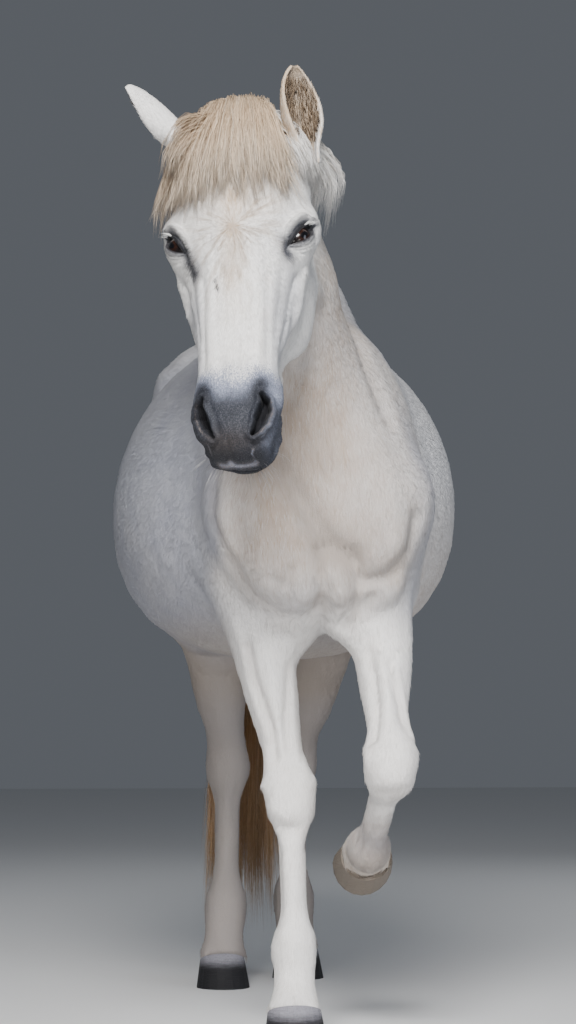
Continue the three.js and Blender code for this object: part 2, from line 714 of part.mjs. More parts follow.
// A point over the skull: the angle turns from the face to the pony's right. Below the crown y runs down
// the face; above it, rise turns up over the poll to its back.
const CROWN_Y = 40;
const CROWN_HALF_WIDTH = 56;
function overSkull(angle, y, rise, lift) {
  const origin = onHead(CROWN_HALF_WIDTH * Math.sin(angle) * Math.sin(rise), y, -88);
  const level = Math.cos(rise);
  const direction = vec(Math.sin(angle) * level, -Math.sin(rise), Math.cos(angle) * level)
    .transformDirection(headFrame);
  return origin.addScaledVector(direction, reachSurface(head, origin, direction, 240) + lift);
}

// Two layers of locks arch over the poll and fall down the forehead; more hang at the right temple
const FORELOCK = {
  locks: 12,
  width: 48,
  thickness: 10,
  fringe: 142,
  halfAngle: 0.9,
  templeLocks: 4,
  templeLength: 138,
};
function forelockSolid() {
  const brain = onHead(0, 70, -130);
  const cap = placed(blob(vec(0, 2, -58), [60, 46, 52]), headFrame);
  const solids = [toManifold(wrapCapsule(cap, [onHead(-20, 2, -58), onHead(20, 2, -58)], 10, 2, 3, 90))];
  for (let i = 0; i < FORELOCK.locks; i += 1) {
    const upper = i % 2;
    const angle = FORELOCK.halfAngle * ((2 * i) / (FORELOCK.locks - 1) - 1) + vary(0.04);
    const end = FORELOCK.fringe + vary(12) - 12 * upper + 20 * angle * angle;
    const lift = upper * 7;
    solids.push(lock([
      overSkull(angle * 0.9, CROWN_Y, 1.5, 4 + lift),
      overSkull(angle * 0.8, CROWN_Y, 0.85, 31 + lift),
      overSkull(angle * 0.8, mix(CROWN_Y, end, 0.35), 0, 21 + lift),
      overSkull(angle + vary(0.05), end, 0, 7 + lift),
    ], FORELOCK.width + vary(5), FORELOCK.thickness, brain));
  }
  for (let i = 0; i < FORELOCK.templeLocks; i += 1) {
    const angle = 0.98 + 0.17 * i;
    const end = FORELOCK.templeLength + 22 * Math.sin(i * 2.1);
    solids.push(lock([
      overSkull(angle * 0.8, CROWN_Y, 1.2, 6),
      overSkull(angle * 0.9, CROWN_Y, 0.6, 30),
      overSkull(angle, mix(CROWN_Y, end, 0.4), 0, 32),
      overSkull(angle, end, 0, 30),
    ], FORELOCK.width + 3, FORELOCK.thickness, brain));
  }
  return fuse(solids);
}

// A point over the neck: t runs up the crest from the withers, the angle turns from straight up to the right
const CREST = new THREE.CatmullRomCurve3([vec(-14, 140, 1205), vec(-74, -30, 1281), vec(-148, -208, 1337)]);
function overNeck(t, angle, lift) {
  const origin = CREST.getPointAt(t);
  const toRight = CREST.getTangentAt(t).cross(UP).normalize();
  const direction = UP.clone().multiplyScalar(Math.cos(angle)).addScaledVector(toRight, Math.sin(angle));
  return origin.addScaledVector(direction, reachSurface(flesh, origin, direction, 240) + lift);
}

// The mane falls to the right; a thick tuft behind the left ear is thrown over to the left
const MANE = { locks: 11, width: 84, thickness: 11, fall: 1.95, tuftLocks: 4 };
const TUFT = [vec(-150, -200, 1364), vec(-76, -214, 1382), vec(-2, -206, 1330), vec(-8, -206, 1236)];
function maneSolid() {
  const ridge = [0, 0.25, 0.5, 0.75, 1].map((t) => overNeck(t, 0.2, -3));
  const cap = blend(10, ridge.slice(1).map((end, i) => cone(ridge[i], end, 12, 12)));
  const solids = [toManifold(wrapCapsule(cap, [ridge[0], ridge[2], ridge[4]], 8, 6, 2, 60))];
  for (let i = 0; i < MANE.locks; i += 1) {
    const t = mix(0.02, 0.98, i / (MANE.locks - 1));
    const lean = -0.02 + vary(0.012);
    const fall = MANE.fall + vary(0.22);
    const lift = (i % 3) * 4;
    const bends = [[-0.1, 4], [fall * 0.3, 10 + lift], [fall * 0.66, 8 + lift], [fall, 5 + lift]];
    const route = bends.map(([angle, high], k) => overNeck(clamp(t + lean * k, 0, 1), angle, high));
    solids.push(lock(route, MANE.width + vary(8), MANE.thickness, CREST.getPointAt(t).setZ(1180)));
  }
  for (let i = 0; i < MANE.tuftLocks; i += 1) {
    const back = i * 13;
    const inward = i * 5 * (i % 2);
    const rise = 18 * ((i * 2) % 3);
    const route = TUFT.map((p, k) => p.clone().add(vec(vary(3) - inward, back, k < 3 ? 0 : rise)));
    solids.push(lock(route, MANE.width * 0.6, MANE.thickness, vec(-140, -60, 1250)));
  }
  return fuse(solids);
}

const DOCK = [vec(0, 1180, 1126), vec(0, 1232, 1070), vec(-8, 1262, 930), vec(-20, 1268, 700)];
const TAIL = { locks: 13, width: 62, thickness: 16, halfSpread: 80, middle: -28, tip: 136, shortest: 330 };
function tailSolid() {
  const radii = [30, 38, 34, 14];
  const core = blend(20, DOCK.slice(1).map((end, i) => cone(DOCK[i], end, radii[i], radii[i + 1])));
  const solids = [toManifold(wrapCapsule(core, DOCK, 10, 8, 3, 80))];
  const dock = new THREE.CatmullRomCurve3(DOCK);
  for (let i = 0; i < TAIL.locks; i += 1) {
    const turn = i * 2.4; // the golden angle spreads the locks evenly round the dock
    const outward = vec(Math.sin(turn), Math.abs(Math.cos(turn)) * 0.8 - 0.15 * (i % 2), 0);
    const start = dock.getPointAt(0.1 + 0.5 * ((i * 0.618) % 1));
    const end = mix(TAIL.tip, TAIL.shortest, random() ** 1.6);
    const x = TAIL.middle + outward.x * TAIL.halfSpread;
    const route = [
      start.clone().addScaledVector(outward, 12),
      start.clone().addScaledVector(outward, 44).add(vec(0, 6, -70)),
      vec(mix(start.x, x, 0.8), 1262 + outward.y * 48, mix(start.z, end, 0.6)),
      vec(x + vary(8), 1250 + outward.y * 40, end),
    ];
    const middle = route[2].clone().addScaledVector(outward.normalize(), -600);
    solids.push(lock(route, TAIL.width + vary(8), TAIL.thickness, middle));
  }
  return fuse(solids);
}

// ---------------------------------------------------------------------------------------------------
// The pony

const torsoSolid = torso(0);
const neckSolid = neckNode(0);
const headSolid = headNode();
const clearance = { torso: torso(GAP), neck: neckNode(GAP), head: headBlank(GAP) };
const clearOf = (solid, names) => largest(
  names.reduce((rest, name) => rest.subtract(clearance[name]), solid).simplify(FUSE_TOLERANCE),
);

addNode('torso', torsoSolid, COAT);
addNode('neck', neckSolid, COAT);
addNode('head', headSolid, COAT);
forelegNodes('foreleg_right', FORELEGS.right);
forelegNodes('foreleg_left', FORELEGS.left);
hindlegNodes('hindleg_right', HINDLEGS.right);
hindlegNodes('hindleg_left', HINDLEGS.left);
addNode('hoof_fore_right', hoof(FORELEGS.right), DARK_HORN);
addNode('hoof_fore_left', hoof(FORELEGS.left), PALE_HORN);
addNode('hoof_hind_right', hoof(HINDLEGS.right), DARK_HORN);
addNode('hoof_hind_left', hoof(HINDLEGS.left), DARK_HORN);
addNode('eye_left', eyeNode(-1), EYE_COLOUR);
addNode('eye_right', eyeNode(1), EYE_COLOUR);

const earSolids = {
  left: clearOf(toManifold(earLeaf(EARS.left)), ['head', 'neck']),
  right: clearOf(toManifold(earLeaf(EARS.right)), ['head', 'neck']),
};
addNode('ear_left', earSolids.left, COAT);
addNode('ear_right', earSolids.right, COAT);
for (const name of ['left', 'right']) clearance[`ear_${name}`] = toManifold(earLeaf(EARS[name]));

const parting = onHead(0, 0, -92);
const ahead = vec(0, 0, 1).transformDirection(headFrame);
const forelock = slice(forelockSolid(), parting, ahead.clone().negate());
const mane = slice(maneSolid(), parting, ahead);
addNode('forelock', clearOf(forelock, ['head', 'neck', 'ear_left', 'ear_right']), FORELOCK_COLOUR);
addNode('mane', clearOf(mane, ['head', 'neck', 'torso', 'ear_left', 'ear_right']), MANE_COLOUR);
addNode('tail', clearOf(tailSolid(), ['torso']), TAIL_COLOUR);

// The origin is the middle of the bounding box's bottom
const box = new THREE.Box3().setFromObject(model);
const middle = box.getCenter(vec(0, 0, 0));
model.position.set(-middle.x, -middle.y, -box.min.z);

export default model;
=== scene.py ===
import math
from types import SimpleNamespace

import bmesh
import bpy
import numpy as np
from mathutils import Matrix, Vector
from mathutils.bvhtree import BVHTree


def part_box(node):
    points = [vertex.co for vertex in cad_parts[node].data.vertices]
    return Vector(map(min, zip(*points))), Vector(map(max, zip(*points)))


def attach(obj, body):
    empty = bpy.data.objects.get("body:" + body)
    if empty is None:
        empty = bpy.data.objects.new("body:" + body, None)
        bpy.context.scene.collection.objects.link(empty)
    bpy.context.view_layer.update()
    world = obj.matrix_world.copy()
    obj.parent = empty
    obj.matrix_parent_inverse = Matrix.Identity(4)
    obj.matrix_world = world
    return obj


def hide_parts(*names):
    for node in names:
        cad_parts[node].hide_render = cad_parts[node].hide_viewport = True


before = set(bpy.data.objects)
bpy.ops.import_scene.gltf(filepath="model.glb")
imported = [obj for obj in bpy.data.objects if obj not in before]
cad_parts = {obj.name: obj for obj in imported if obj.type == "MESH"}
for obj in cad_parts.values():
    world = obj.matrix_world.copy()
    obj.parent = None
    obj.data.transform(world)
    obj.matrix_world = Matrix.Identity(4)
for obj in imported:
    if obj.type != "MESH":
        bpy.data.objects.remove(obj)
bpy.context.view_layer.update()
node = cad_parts
MM = 0.001
UP = np.array([0, 0, 1.0])
rng = np.random.default_rng(12)

# ---------------------------------------------------------------------------------------------------
# Places. Millimetres in the pony's own frame: x to its left, y backward, z up, from the standing fore hoof.

TOE_REACH = 55
HOOF_ACROSS = -43
foot_low, foot_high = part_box("hoof_fore_right")
OFFSET = np.array([(foot_low.x + foot_high.x) / 2 - HOOF_ACROSS * MM, foot_low.y + TOE_REACH * MM, 0.0])


def at(x, y, z):
    return np.array([x, y, z]) * MM + OFFSET


def in_body(points):
    return (points - OFFSET) / MM


def unit(v):
    v = np.asarray(v, float)
    return v / np.maximum(np.linalg.norm(v, axis=-1, keepdims=True), 1e-12)


def smoothstep(low, high, value):
    t = np.clip((value - low) / (high - low), 0, 1)
    return t * t * (3 - 2 * t)


def bell(value, middle, width):
    """1 at the middle, falling off to both sides over the width."""
    return np.exp(-((value - middle) / width) ** 2)


def spot(points, centre, radii):
    """1 at the centre, falling off all round over the radii."""
    return np.exp(-(((points - centre) / radii) ** 2).sum(1))


# The head's frame, in millimetres: x to the pony's right, y down the face from the poll, z out of the face
POLL = at(-163, -292, 1390)
MUZZLE_END = at(-177, -468, 868)
FACE_YAW = math.radians(14)
face_down = unit(MUZZLE_END - POLL)
face_look = np.array([-math.sin(FACE_YAW), -math.cos(FACE_YAW), 0])
face_out = unit(face_look - face_look @ face_down * face_down)
HEAD = np.stack([np.cross(face_down, face_out), face_down, face_out])


def on_head(x, y, z):
    return POLL + np.array([x, y, z]) * MM @ HEAD


def in_head(points):
    return (points - POLL) @ HEAD.T / MM


# An eye's frame: along the slit to the inner corner, up to the brow, and out of the eye
EYE_X, EYE_Y, EYE_Z = 82, 192, -51
EYE_RADIUS = 24


def eye_frame(side):
    out = unit([side * 0.66, 0.02, 0.75])
    slit = np.array([side * -0.58, 0.66, 0.4])
    slit = unit(slit - slit @ out * out)
    return np.array([side * EYE_X, EYE_Y, EYE_Z]), np.stack([slit, np.cross(out, slit) * side, out])


# ---------------------------------------------------------------------------------------------------
# Meshes


def add_object(name, mesh):
    piece = bpy.data.objects.new(name, mesh)
    bpy.context.scene.collection.objects.link(piece)
    return piece


def mesh_of(bm, name):
    mesh = bpy.data.meshes.new(name)
    bm.to_mesh(mesh)
    bm.free()
    shade_smooth(mesh)
    return mesh


def shade_smooth(mesh):
    mesh.polygons.foreach_set("use_smooth", np.ones(len(mesh.polygons), bool))


def apply_modifiers(piece):
    rough = piece.data
    depsgraph = bpy.context.evaluated_depsgraph_get()
    done = bpy.data.meshes.new_from_object(piece.evaluated_get(depsgraph))
    piece.modifiers.clear()
    piece.data = done
    bpy.data.meshes.remove(rough)


def wear(piece, material):
    piece.data.materials.clear()
    piece.data.materials.append(material)
    return piece


def dress(name, mesh, material):
    """Makes a mesh a finished piece of the pony."""
    piece = wear(add_object(name, mesh), material)
    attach(piece, "root")
    return piece


def coords(mesh):
    co = np.empty(len(mesh.vertices) * 3)
    mesh.vertices.foreach_get("co", co)
    return co.reshape(-1, 3)


def set_coords(mesh, co):
    mesh.vertices.foreach_set("co", co.ravel())
    mesh.update()


def normals(mesh):
    n = np.empty(len(mesh.vertices) * 3, np.float32)
    mesh.vertex_normals.foreach_get("vector", n)
    return n.reshape(-1, 3).astype(float)


def edge_pairs(mesh):
    pairs = np.empty(len(mesh.edges) * 2, np.int32)
    mesh.edges.foreach_get("vertices", pairs)
    return pairs.reshape(-1, 2)


def relax(mesh, pairs_of_passes, weight=1.0, push=-0.53):
    """Rounds off facets without shrinking: each pass pulls in, then pushes out."""
    co = coords(mesh)
    a, b = edge_pairs(mesh).T
    n = len(co)
    valence = np.maximum(np.bincount(a, minlength=n) + np.bincount(b, minlength=n), 1)[:, None]
    weight = np.broadcast_to(np.asarray(weight, float), (n,))[:, None]
    for _ in range(pairs_of_passes):
        for step in (0.5, push):
            total = np.stack([np.bincount(a, co[b, k], n) + np.bincount(b, co[a, k], n) for k in range(3)], 1)
            co += (total / valence - co) * weight * step
    set_coords(mesh, co)


def from_arrays(name, vertices, faces):
    """Joins many small shapes, all with faces of equal size, as one mesh."""
    mesh = bpy.data.meshes.new(name)
    size = faces.shape[1]
    mesh.vertices.add(len(vertices))
    mesh.vertices.foreach_set("co", vertices.astype(np.float32).ravel())
    mesh.loops.add(faces.size)
    mesh.loops.foreach_set("vertex_index", faces.astype(np.int32).ravel())
    mesh.polygons.add(len(faces))
    mesh.polygons.foreach_set("loop_start", np.arange(0, faces.size, size, dtype=np.int32))
    mesh.update(calc_edges=True)
    shade_smooth(mesh)
    return mesh


def point_values(mesh, name, values):
    layer = mesh.attributes.get(name) or mesh.attributes.new(name, "FLOAT", "POINT")
    layer.data.foreach_set("value", np.asarray(values, np.float32))


# ---------------------------------------------------------------------------------------------------
# Skin: the flesh nodes grown together, rounded, refined on the head and sculpted

FLESH = ["torso", "neck", "head"] + [
    f"{leg}_{part}"
    for leg in ("foreleg_right", "foreleg_left", "hindleg_right", "hindleg_left")
    for part in ("upper", "lower")
]
# In metres: the voxel that grows the nodes together, how deep the skin then lies under the coat's surface,
# and how far each node is fattened first, so that its neighbours touch
VOXEL = 0.0114
COAT_DEPTH = 0.001
SEAM_REACH = 0.0008
# Balls that fill the sockets, the sides of the muzzle and the mouth: centres in the head's frame, and radii
FILLERS = [((side * EYE_X, EYE_Y, EYE_Z), 25.5) for side in (-1, 1)]
FILLERS += [((side * 37, y, -34), 13) for side in (-1, 1) for y in (440, 455, 470, 485)]
FILLERS += [((x, y, -95), 19) for x in (-20, 0, 20) for y in (445, 470, 495)]
# The nostrils lie this far to the pony's right of the middle of the head's frame
NOSTRIL_SHIFT = 5


def gather_flesh():
    """The flesh nodes together, each a little fatter so that they touch, with sockets and mouth filled."""
    whole = bmesh.new()
    for name in FLESH:
        part = bmesh.new()
        part.from_mesh(node[name].data)
        bmesh.ops.remove_doubles(part, verts=part.verts, dist=1e-5)
        part.normal_update()
        for v in part.verts:
            v.co += v.normal * SEAM_REACH
        mesh = mesh_of(part, name + "_copy")
        whole.from_mesh(mesh)
        bpy.data.meshes.remove(mesh)
    for centre, radius in FILLERS:
        place = Matrix.Translation(Vector(on_head(*centre)))
        bmesh.ops.create_icosphere(whole, subdivisions=3, radius=radius * MM, matrix=place)
    return whole


def grown_skin():
    piece = add_object("skin", mesh_of(gather_flesh(), "skin"))
    remesh = piece.modifiers.new("grow together", "REMESH")
    remesh.mode = "VOXEL"
    remesh.voxel_size = VOXEL
    apply_modifiers(piece)
    return piece


def keep_outer_shell(mesh):
    """Drops the small closed shells that the remesh leaves inside."""
    bm = bmesh.new()
    bm.from_mesh(mesh)
    seen = set()
    best = []
    for start in bm.verts:
        if start in seen:
            continue
        stack = [start]
        seen.add(start)
        island = []
        while stack:
            v = stack.pop()
            island.append(v)
            for e in v.link_edges:
                w = e.other_vert(v)
                if w not in seen:
                    seen.add(w)
                    stack.append(w)
        if len(island) > len(best):
            best = island
    keep = set(best)
    bmesh.ops.delete(bm, geom=[v for v in bm.verts if v not in keep], context="VERTS")
    bm.to_mesh(mesh)
    bm.free()


def refine(mesh, inside):
    """Splits the faces whose middle is inside."""
    bm = bmesh.new()
    bm.from_mesh(mesh)
    bm.faces.ensure_lookup_table()
    middles = np.array([f.calc_center_median() for f in bm.faces])
    chosen = inside(middles)
    edges = {e for f, use in zip(bm.faces, chosen) if use for e in f.edges}
    bmesh.ops.subdivide_edges(bm, edges=list(edges), cuts=1, use_grid_fill=True)
    bmesh.ops.triangulate(bm, faces=[f for f in bm.faces if len(f.verts) > 4])
    bm.to_mesh(mesh)
    bm.free()


def near_head(points):
    x, y, z = in_head(points).T
    along = (y > -30) & (y < 560)
    jaw = z > np.interp(y, [-30, 120, 260, 420, 560], [-160, -215, -235, -165, -150])
    return along & jaw & (np.abs(x) < 130)


def near_features(points):
    """The eyes' surroundings and the muzzle."""
    x, y, z = in_head(points).T
    eye = (np.hypot(np.abs(x) - EYE_X, y - EYE_Y) < 46) & (np.abs(z - EYE_Z) < 52)
    muzzle = (y > 408) & (z > -150)
    return near_head(points) & (eye | muzzle)


def near_front(points):
    """The forelegs and the breast."""
    _, y, z = in_body(points).T
    return ((z < 620) & (y < 330)) | ((z < 940) & (y < 40) & (y > -150) & ~near_head(points))


def near_rims(points):
    """The lids and the nostrils' edges."""
    x, y, z = in_head(points).T
    eye = (np.hypot(np.abs(x) - EYE_X - 6, y - EYE_Y) < 32) & (np.abs(z - EYE_Z - 10) < 36)
    nostril = (np.hypot((np.abs(x - NOSTRIL_SHIFT) - 38) / 24, (y - 480) / 40) < 1) & (z > -75)
    return near_head(points) & (eye | nostril)


FIRST_PASSES = 26
# Regions that are refined in turn, with the passes that round each one afterwards
REFINED = [(near_front, 34), (near_head, 14), (near_features, 10), (near_rims, 6)]

skin = grown_skin()
keep_outer_shell(skin.data)
relax(skin.data, FIRST_PASSES)
for region, passes in REFINED:
    refine(skin.data, region)
    relax(skin.data, passes, region(coords(skin.data)).astype(float))
set_coords(skin.data, coords(skin.data) - normals(skin.data) * COAT_DEPTH)

# Strokes on the head, in millimetres of the head's frame: path, width, height, mirrored or not
HEAD_STROKES = [
    # temples, brows and cheekbones
    ([(84, 86, -78), (92, 130, -74), (97, 162, -66)], 30, 9.0, True),
    ([(101, 150, -52), (86, 172, -34)], 13, 3.0, True),
    ([(88, 232, -72), (86, 268, -78), (76, 320, -84)], 8, 4.0, True),
    ([(-80, 270, -70), (-82, 300, -88)], 12, 4.5, False),
    ([(66, 236, -30), (62, 290, -34), (52, 350, -32)], 9, -2.6, True),
    ([(80, 246, -56), (73, 300, -58), (63, 345, -54), (57, 392, -48)], 5, -3.2, True),
    # bony bridge of the nose and the muscles beside it
    ([(33, 230, -8), (35, 300, -9), (36, 360, -11), (33, 408, -10)], 7, 2.2, True),
    ([(47, 262, -16), (47, 310, -16), (46, 366, -20), (43, 412, -22)], 5, -2.4, True),
    ([(56, 330, -40), (53, 375, -40), (50, 415, -36)], 5, 2.6, True),
    ([(66, 300, -66), (60, 360, -64), (57, 410, -62)], 5, 2.0, True),
    ([(18, 400, -4), (15, 440, -6)], 8, -1.8, True),
    ([(0, 262, 0), (0, 330, 0), (2, 400, -4)], 12, 1.2, False),
    # hollows above the eyes
    ([(88, 118, -72), (74, 108, -52)], 13, -3.5, True),
    # veins
    ([(-70, 232, -40), (-76, 262, -58), (-70, 300, -62), (-60, 340, -60), (-58, 372, -66)], 2.6, 2.0, False),
    ([(-70, 300, -62), (-62, 322, -48), (-54, 350, -38)], 2.4, 1.7, False),
    ([(72, 236, -40), (74, 270, -54), (66, 310, -58), (60, 352, -58)], 2.6, 2.0, False),
    ([(74, 270, -54), (60, 300, -40), (56, 334, -36)], 2.4, 1.6, False),
    # slimmer jaw behind the cheek, and the square chin
    ([(-92, 250, -140), (-84, 296, -136), (-74, 316, -134), (-60, 345, -138)], 34, -11.0, False),
    ([(38, 505, -84), (30, 526, -82)], 14, 3.0, False),
    ([(-44, 500, -84), (-30, 522, -86)], 16, 4.0, False),
    ([(58, 455, -48), (58, 475, -46), (52, 500, -50)], 15, 4.5, False),
]
# The nostril's opening: places across and down the muzzle, with half the opening's width there
NOSTRIL_PATH = [(43, 453, 3.0), (48, 462, 6.5), (46.5, 473, 9.5), (41, 487, 9.5), (35, 499, 6.0),
                (28, 508, 2.5)]
# For each side: how far its opening is shifted aside, and how wide it flares
NOSTRIL_SIDES = {1: (-4, 0.8), -1: (5, 1.0)}
NOSTRIL_DEPTH = 26
# The eyes' openings: half their length, how much longer the lids are than the ball, how far the lids' edges
# rise and drop from the corners, the lids' thickness, and how far the shaping round an eye reaches
SLIT_HALF = 26
SLIT_STRETCH = 1.22
LID_RISE = 9.8
LID_DROP = 7.6
LID_THICKNESS = 2.4
EYE_REACH = 66
MOUTH_CORNER_Y = 436
MOUTH_Z = -92


def distance_to_path(points, path):
    path = np.asarray(path, float)
    best = np.full(len(points), 1e9)
    for a, b in zip(path[:-1], path[1:]):
        t = np.clip((points - a) @ (b - a) / ((b - a) @ (b - a)), 0, 1)
        best = np.minimum(best, np.linalg.norm(points - a - t[:, None] * (b - a), axis=1))
    return best


def stroke(points, path, width):
    """1 along a path, falling off beside it."""
    return bell(distance_to_path(points, path), 0, width)


def lids(u):
    """Heights of the upper and the lower lid's edge along the slit, the inner corner at positive u."""
    t = u / SLIT_HALF
    shape = np.clip(1 - t**2, 0, 1)
    return LID_RISE * shape**0.6 * (1 - 0.4 * t), -LID_DROP * shape**0.75 * (1 - 0.1 * t)


def slit_gap(u, v):
    """How far a point lies outside the eye's opening, if it is above it, and the nearer lid's edge."""
    upper, lower = lids(u)
    gap = np.maximum(v - upper, lower - v)
    gap = np.where(np.abs(u) > SLIT_HALF, np.hypot(np.abs(u) - SLIT_HALF, v), gap)
    above = v > (upper + lower) / 2
    return gap, above, np.where(above, upper, lower)


def over_eye(points, side):
    """Points in an eye's own frame in millimetres, their distances, and their places as seen from in front.

    The frame is squeezed along the slit, so that the lids, longer than the ball, lie on a sphere in it."""
    centre, axes = eye_frame(side)
    local = (in_head(points) - centre) @ axes.T
    u = local[:, 0].copy()
    local[:, 0] /= SLIT_STRETCH
    return local, np.linalg.norm(local, axis=1), u, local[:, 1]


def from_eye(local, side):
    """Squeezed places in an eye's frame as places in the scene's frame."""
    centre, axes = eye_frame(side)
    return POLL + ((local * (SLIT_STRETCH, 1, 1)) @ axes + centre) * MM @ HEAD


def on_ball(u, v, radius):
    """Points of a sphere in an eye's squeezed frame, by their places as seen from in front."""
    squeezed = u / SLIT_STRETCH
    return np.stack([squeezed, v, np.sqrt(np.maximum(radius**2 - squeezed**2 - v**2, 1))], 1)


def on_lids(side, u, v, lift):
    """Points on the lids' surface, raised by lift."""
    return from_eye(on_ball(u, v, EYE_RADIUS + lift), side)


def sculpt_eye(co, side):
    local, radius, u, v = over_eye(co, side)
    gap, above, edge = slit_gap(u, v)
    front = (local[:, 2] > -4) & (radius < EYE_REACH)
    near_edge = front & (np.abs(gap) < 0.9) & (np.abs(u) < SLIT_HALF - 1)
    v = np.where(near_edge, edge, v)
    gap = np.where(near_edge, 0, gap)
    rim = EYE_RADIUS + LID_THICKNESS
    lid = rim + (np.maximum(radius, rim + 1) - rim) * smoothstep(0, 20, gap)
    crease = bell(gap, 5.5, 1.7) * np.where(above, -3.4, -0.9)
    roll = bell(gap, 2.4, 2.0) * np.where(above, 1.2, 0.9)
    brow = bell(gap, 12.5, 5.2) * np.where(above, 8.5, 0.0)
    pouch = (bell(gap, 10, 1.8) + 0.8 * bell(gap, 15, 1.9)) * np.where(above, 0, -1.4)
    fade = np.clip(1.3 - np.abs(u) / 46, 0, 1)
    lid = lid + (crease * 0.7 + roll + brow + pouch * 0.6) * fade
    inside = smoothstep(0.1, 1.8, -gap)
    lid = lid * (1 - inside) + (EYE_RADIUS - 5) * inside
    direction = np.where(near_edge[:, None], unit(on_ball(u, v, rim)), local / radius[:, None])
    moved = direction * lid[:, None]
    blend = (front * smoothstep(EYE_REACH, EYE_REACH - 20, radius) * smoothstep(-4, 6, local[:, 2]))[:, None]
    return from_eye(local + (moved - local) * blend, side)


def nostril_gap(local, side):
    """How far a point of the muzzle lies outside a nostril's opening, negative inside, in millimetres."""
    shift, flare = NOSTRIL_SIDES[side]
    flat = np.stack([local[:, 0] * side + shift, local[:, 1]], 1)
    gap = np.full(len(local), 1e9)
    path = np.array(NOSTRIL_PATH, float)
    for a, b in zip(path[:-1], path[1:]):
        step = b[:2] - a[:2]
        t = np.clip((flat - a[:2]) @ step / (step @ step), 0, 1)
        reach = np.linalg.norm(flat - a[:2] - t[:, None] * step, axis=1) - (a[2] + t * (b[2] - a[2])) * flare
        gap = np.minimum(gap, reach)
    front = (local[:, 2] > -88) & ((local[:, 0] - NOSTRIL_SHIFT) * side > -4)
    return np.where(front, gap, 1e9)


def sculpt_nostril(local, side):
    """How far the muzzle's skin moves along its outward direction at a nostril, in millimetres."""
    gap = nostril_gap(local, side)
    x = (local[:, 0] - NOSTRIL_SHIFT) * side
    outer = x > np.interp(local[:, 1], [450, 462, 480, 508], [42, 48, 43, 28]) - 2
    inside = smoothstep(1.0, -3.0, gap)
    rim = bell(gap, 3.2, 2.4) * np.where(outer, 3.6, 2.0)
    behind = bell(gap, 10, 4) * np.where(outer, -2.6, -1.2)
    return (rim + behind) * (1 - inside) - inside * NOSTRIL_DEPTH


def lip_line(x, y):
    """Height of the line between the lips."""
    return MOUTH_Z - 3 * smoothstep(440, 520, y) + 3 * np.cos((x - 10) / 14) + 6 * smoothstep(4, 30, x)


def sculpt_mouth(local):
    """How far the skin moves outward at the lips and the chin, in millimetres."""
    x, y, z = local.T
    over_line = z - lip_line(x, y)
    reach = smoothstep(MOUTH_CORNER_Y - 6, MOUTH_CORNER_Y + 8, y)
    groove = bell(over_line, 0, 2.2) * -6.0
    lips = bell(over_line, 8, 5) * 2.0 + bell(over_line, -8, 5) * 1.4
    chin = bell(z, -124, 14) * bell(y, 496, 22) * 4
    philtrum = bell(x, 12, 3.5) * bell(y, 522, 16) * -1.8 * (z > -88)
    prow = bell(x, 8, 26) * bell(y, 505, 16) * 3.0 * (z > -70)
    return (groove + lips) * reach + chin + philtrum + prow


def sculpt_head():
    """Shapes the head, and returns how deep inside a nostril each point of the skin lies, from 0 to 1."""
    mesh = skin.data
    co = coords(mesh)
    head = near_head(co)
    local = in_head(co[head])
    move = np.zeros(len(local))
    for path, width, height, mirrored in HEAD_STROKES:
        for side in (1, -1) if mirrored else (1,):
            move += height * stroke(local, [(x * side, y, z) for x, y, z in path], width)
    move += sculpt_mouth(local)
    co[head] += normals(mesh)[head] * (move * MM)[:, None]
    lip_corner = 11 * MM * spot(local, (32, 520, -74), (15, 22, 24))
    co[head] += HEAD[0] * lip_corner[:, None]
    for side in (-1, 1):
        centre = on_head(side * EYE_X, EYE_Y, EYE_Z)
        near = np.linalg.norm(co - centre, axis=1) < EYE_REACH * MM
        co[near] = sculpt_eye(co[near], side)
    set_coords(mesh, co)
    n = normals(mesh)[head]
    move = (sculpt_nostril(local, 1) + sculpt_nostril(local, -1))[:, None] * MM
    inward = unit(n * 0.55 + np.array([0, 0.1, 0.8]) @ HEAD)
    co[head] += np.where(move < -3 * MM, inward, n) * move
    set_coords(mesh, co)
    depth = np.zeros(len(co))
    for side, (shift, _) in NOSTRIL_SIDES.items():
        outer = smoothstep(38, 50, local[:, 0] * side + shift + 0.35 * (local[:, 1] - 480))
        depth[head] += smoothstep(0.5, -2.5, nostril_gap(local, side)) * (1 - 0.55 * outer)
    return depth


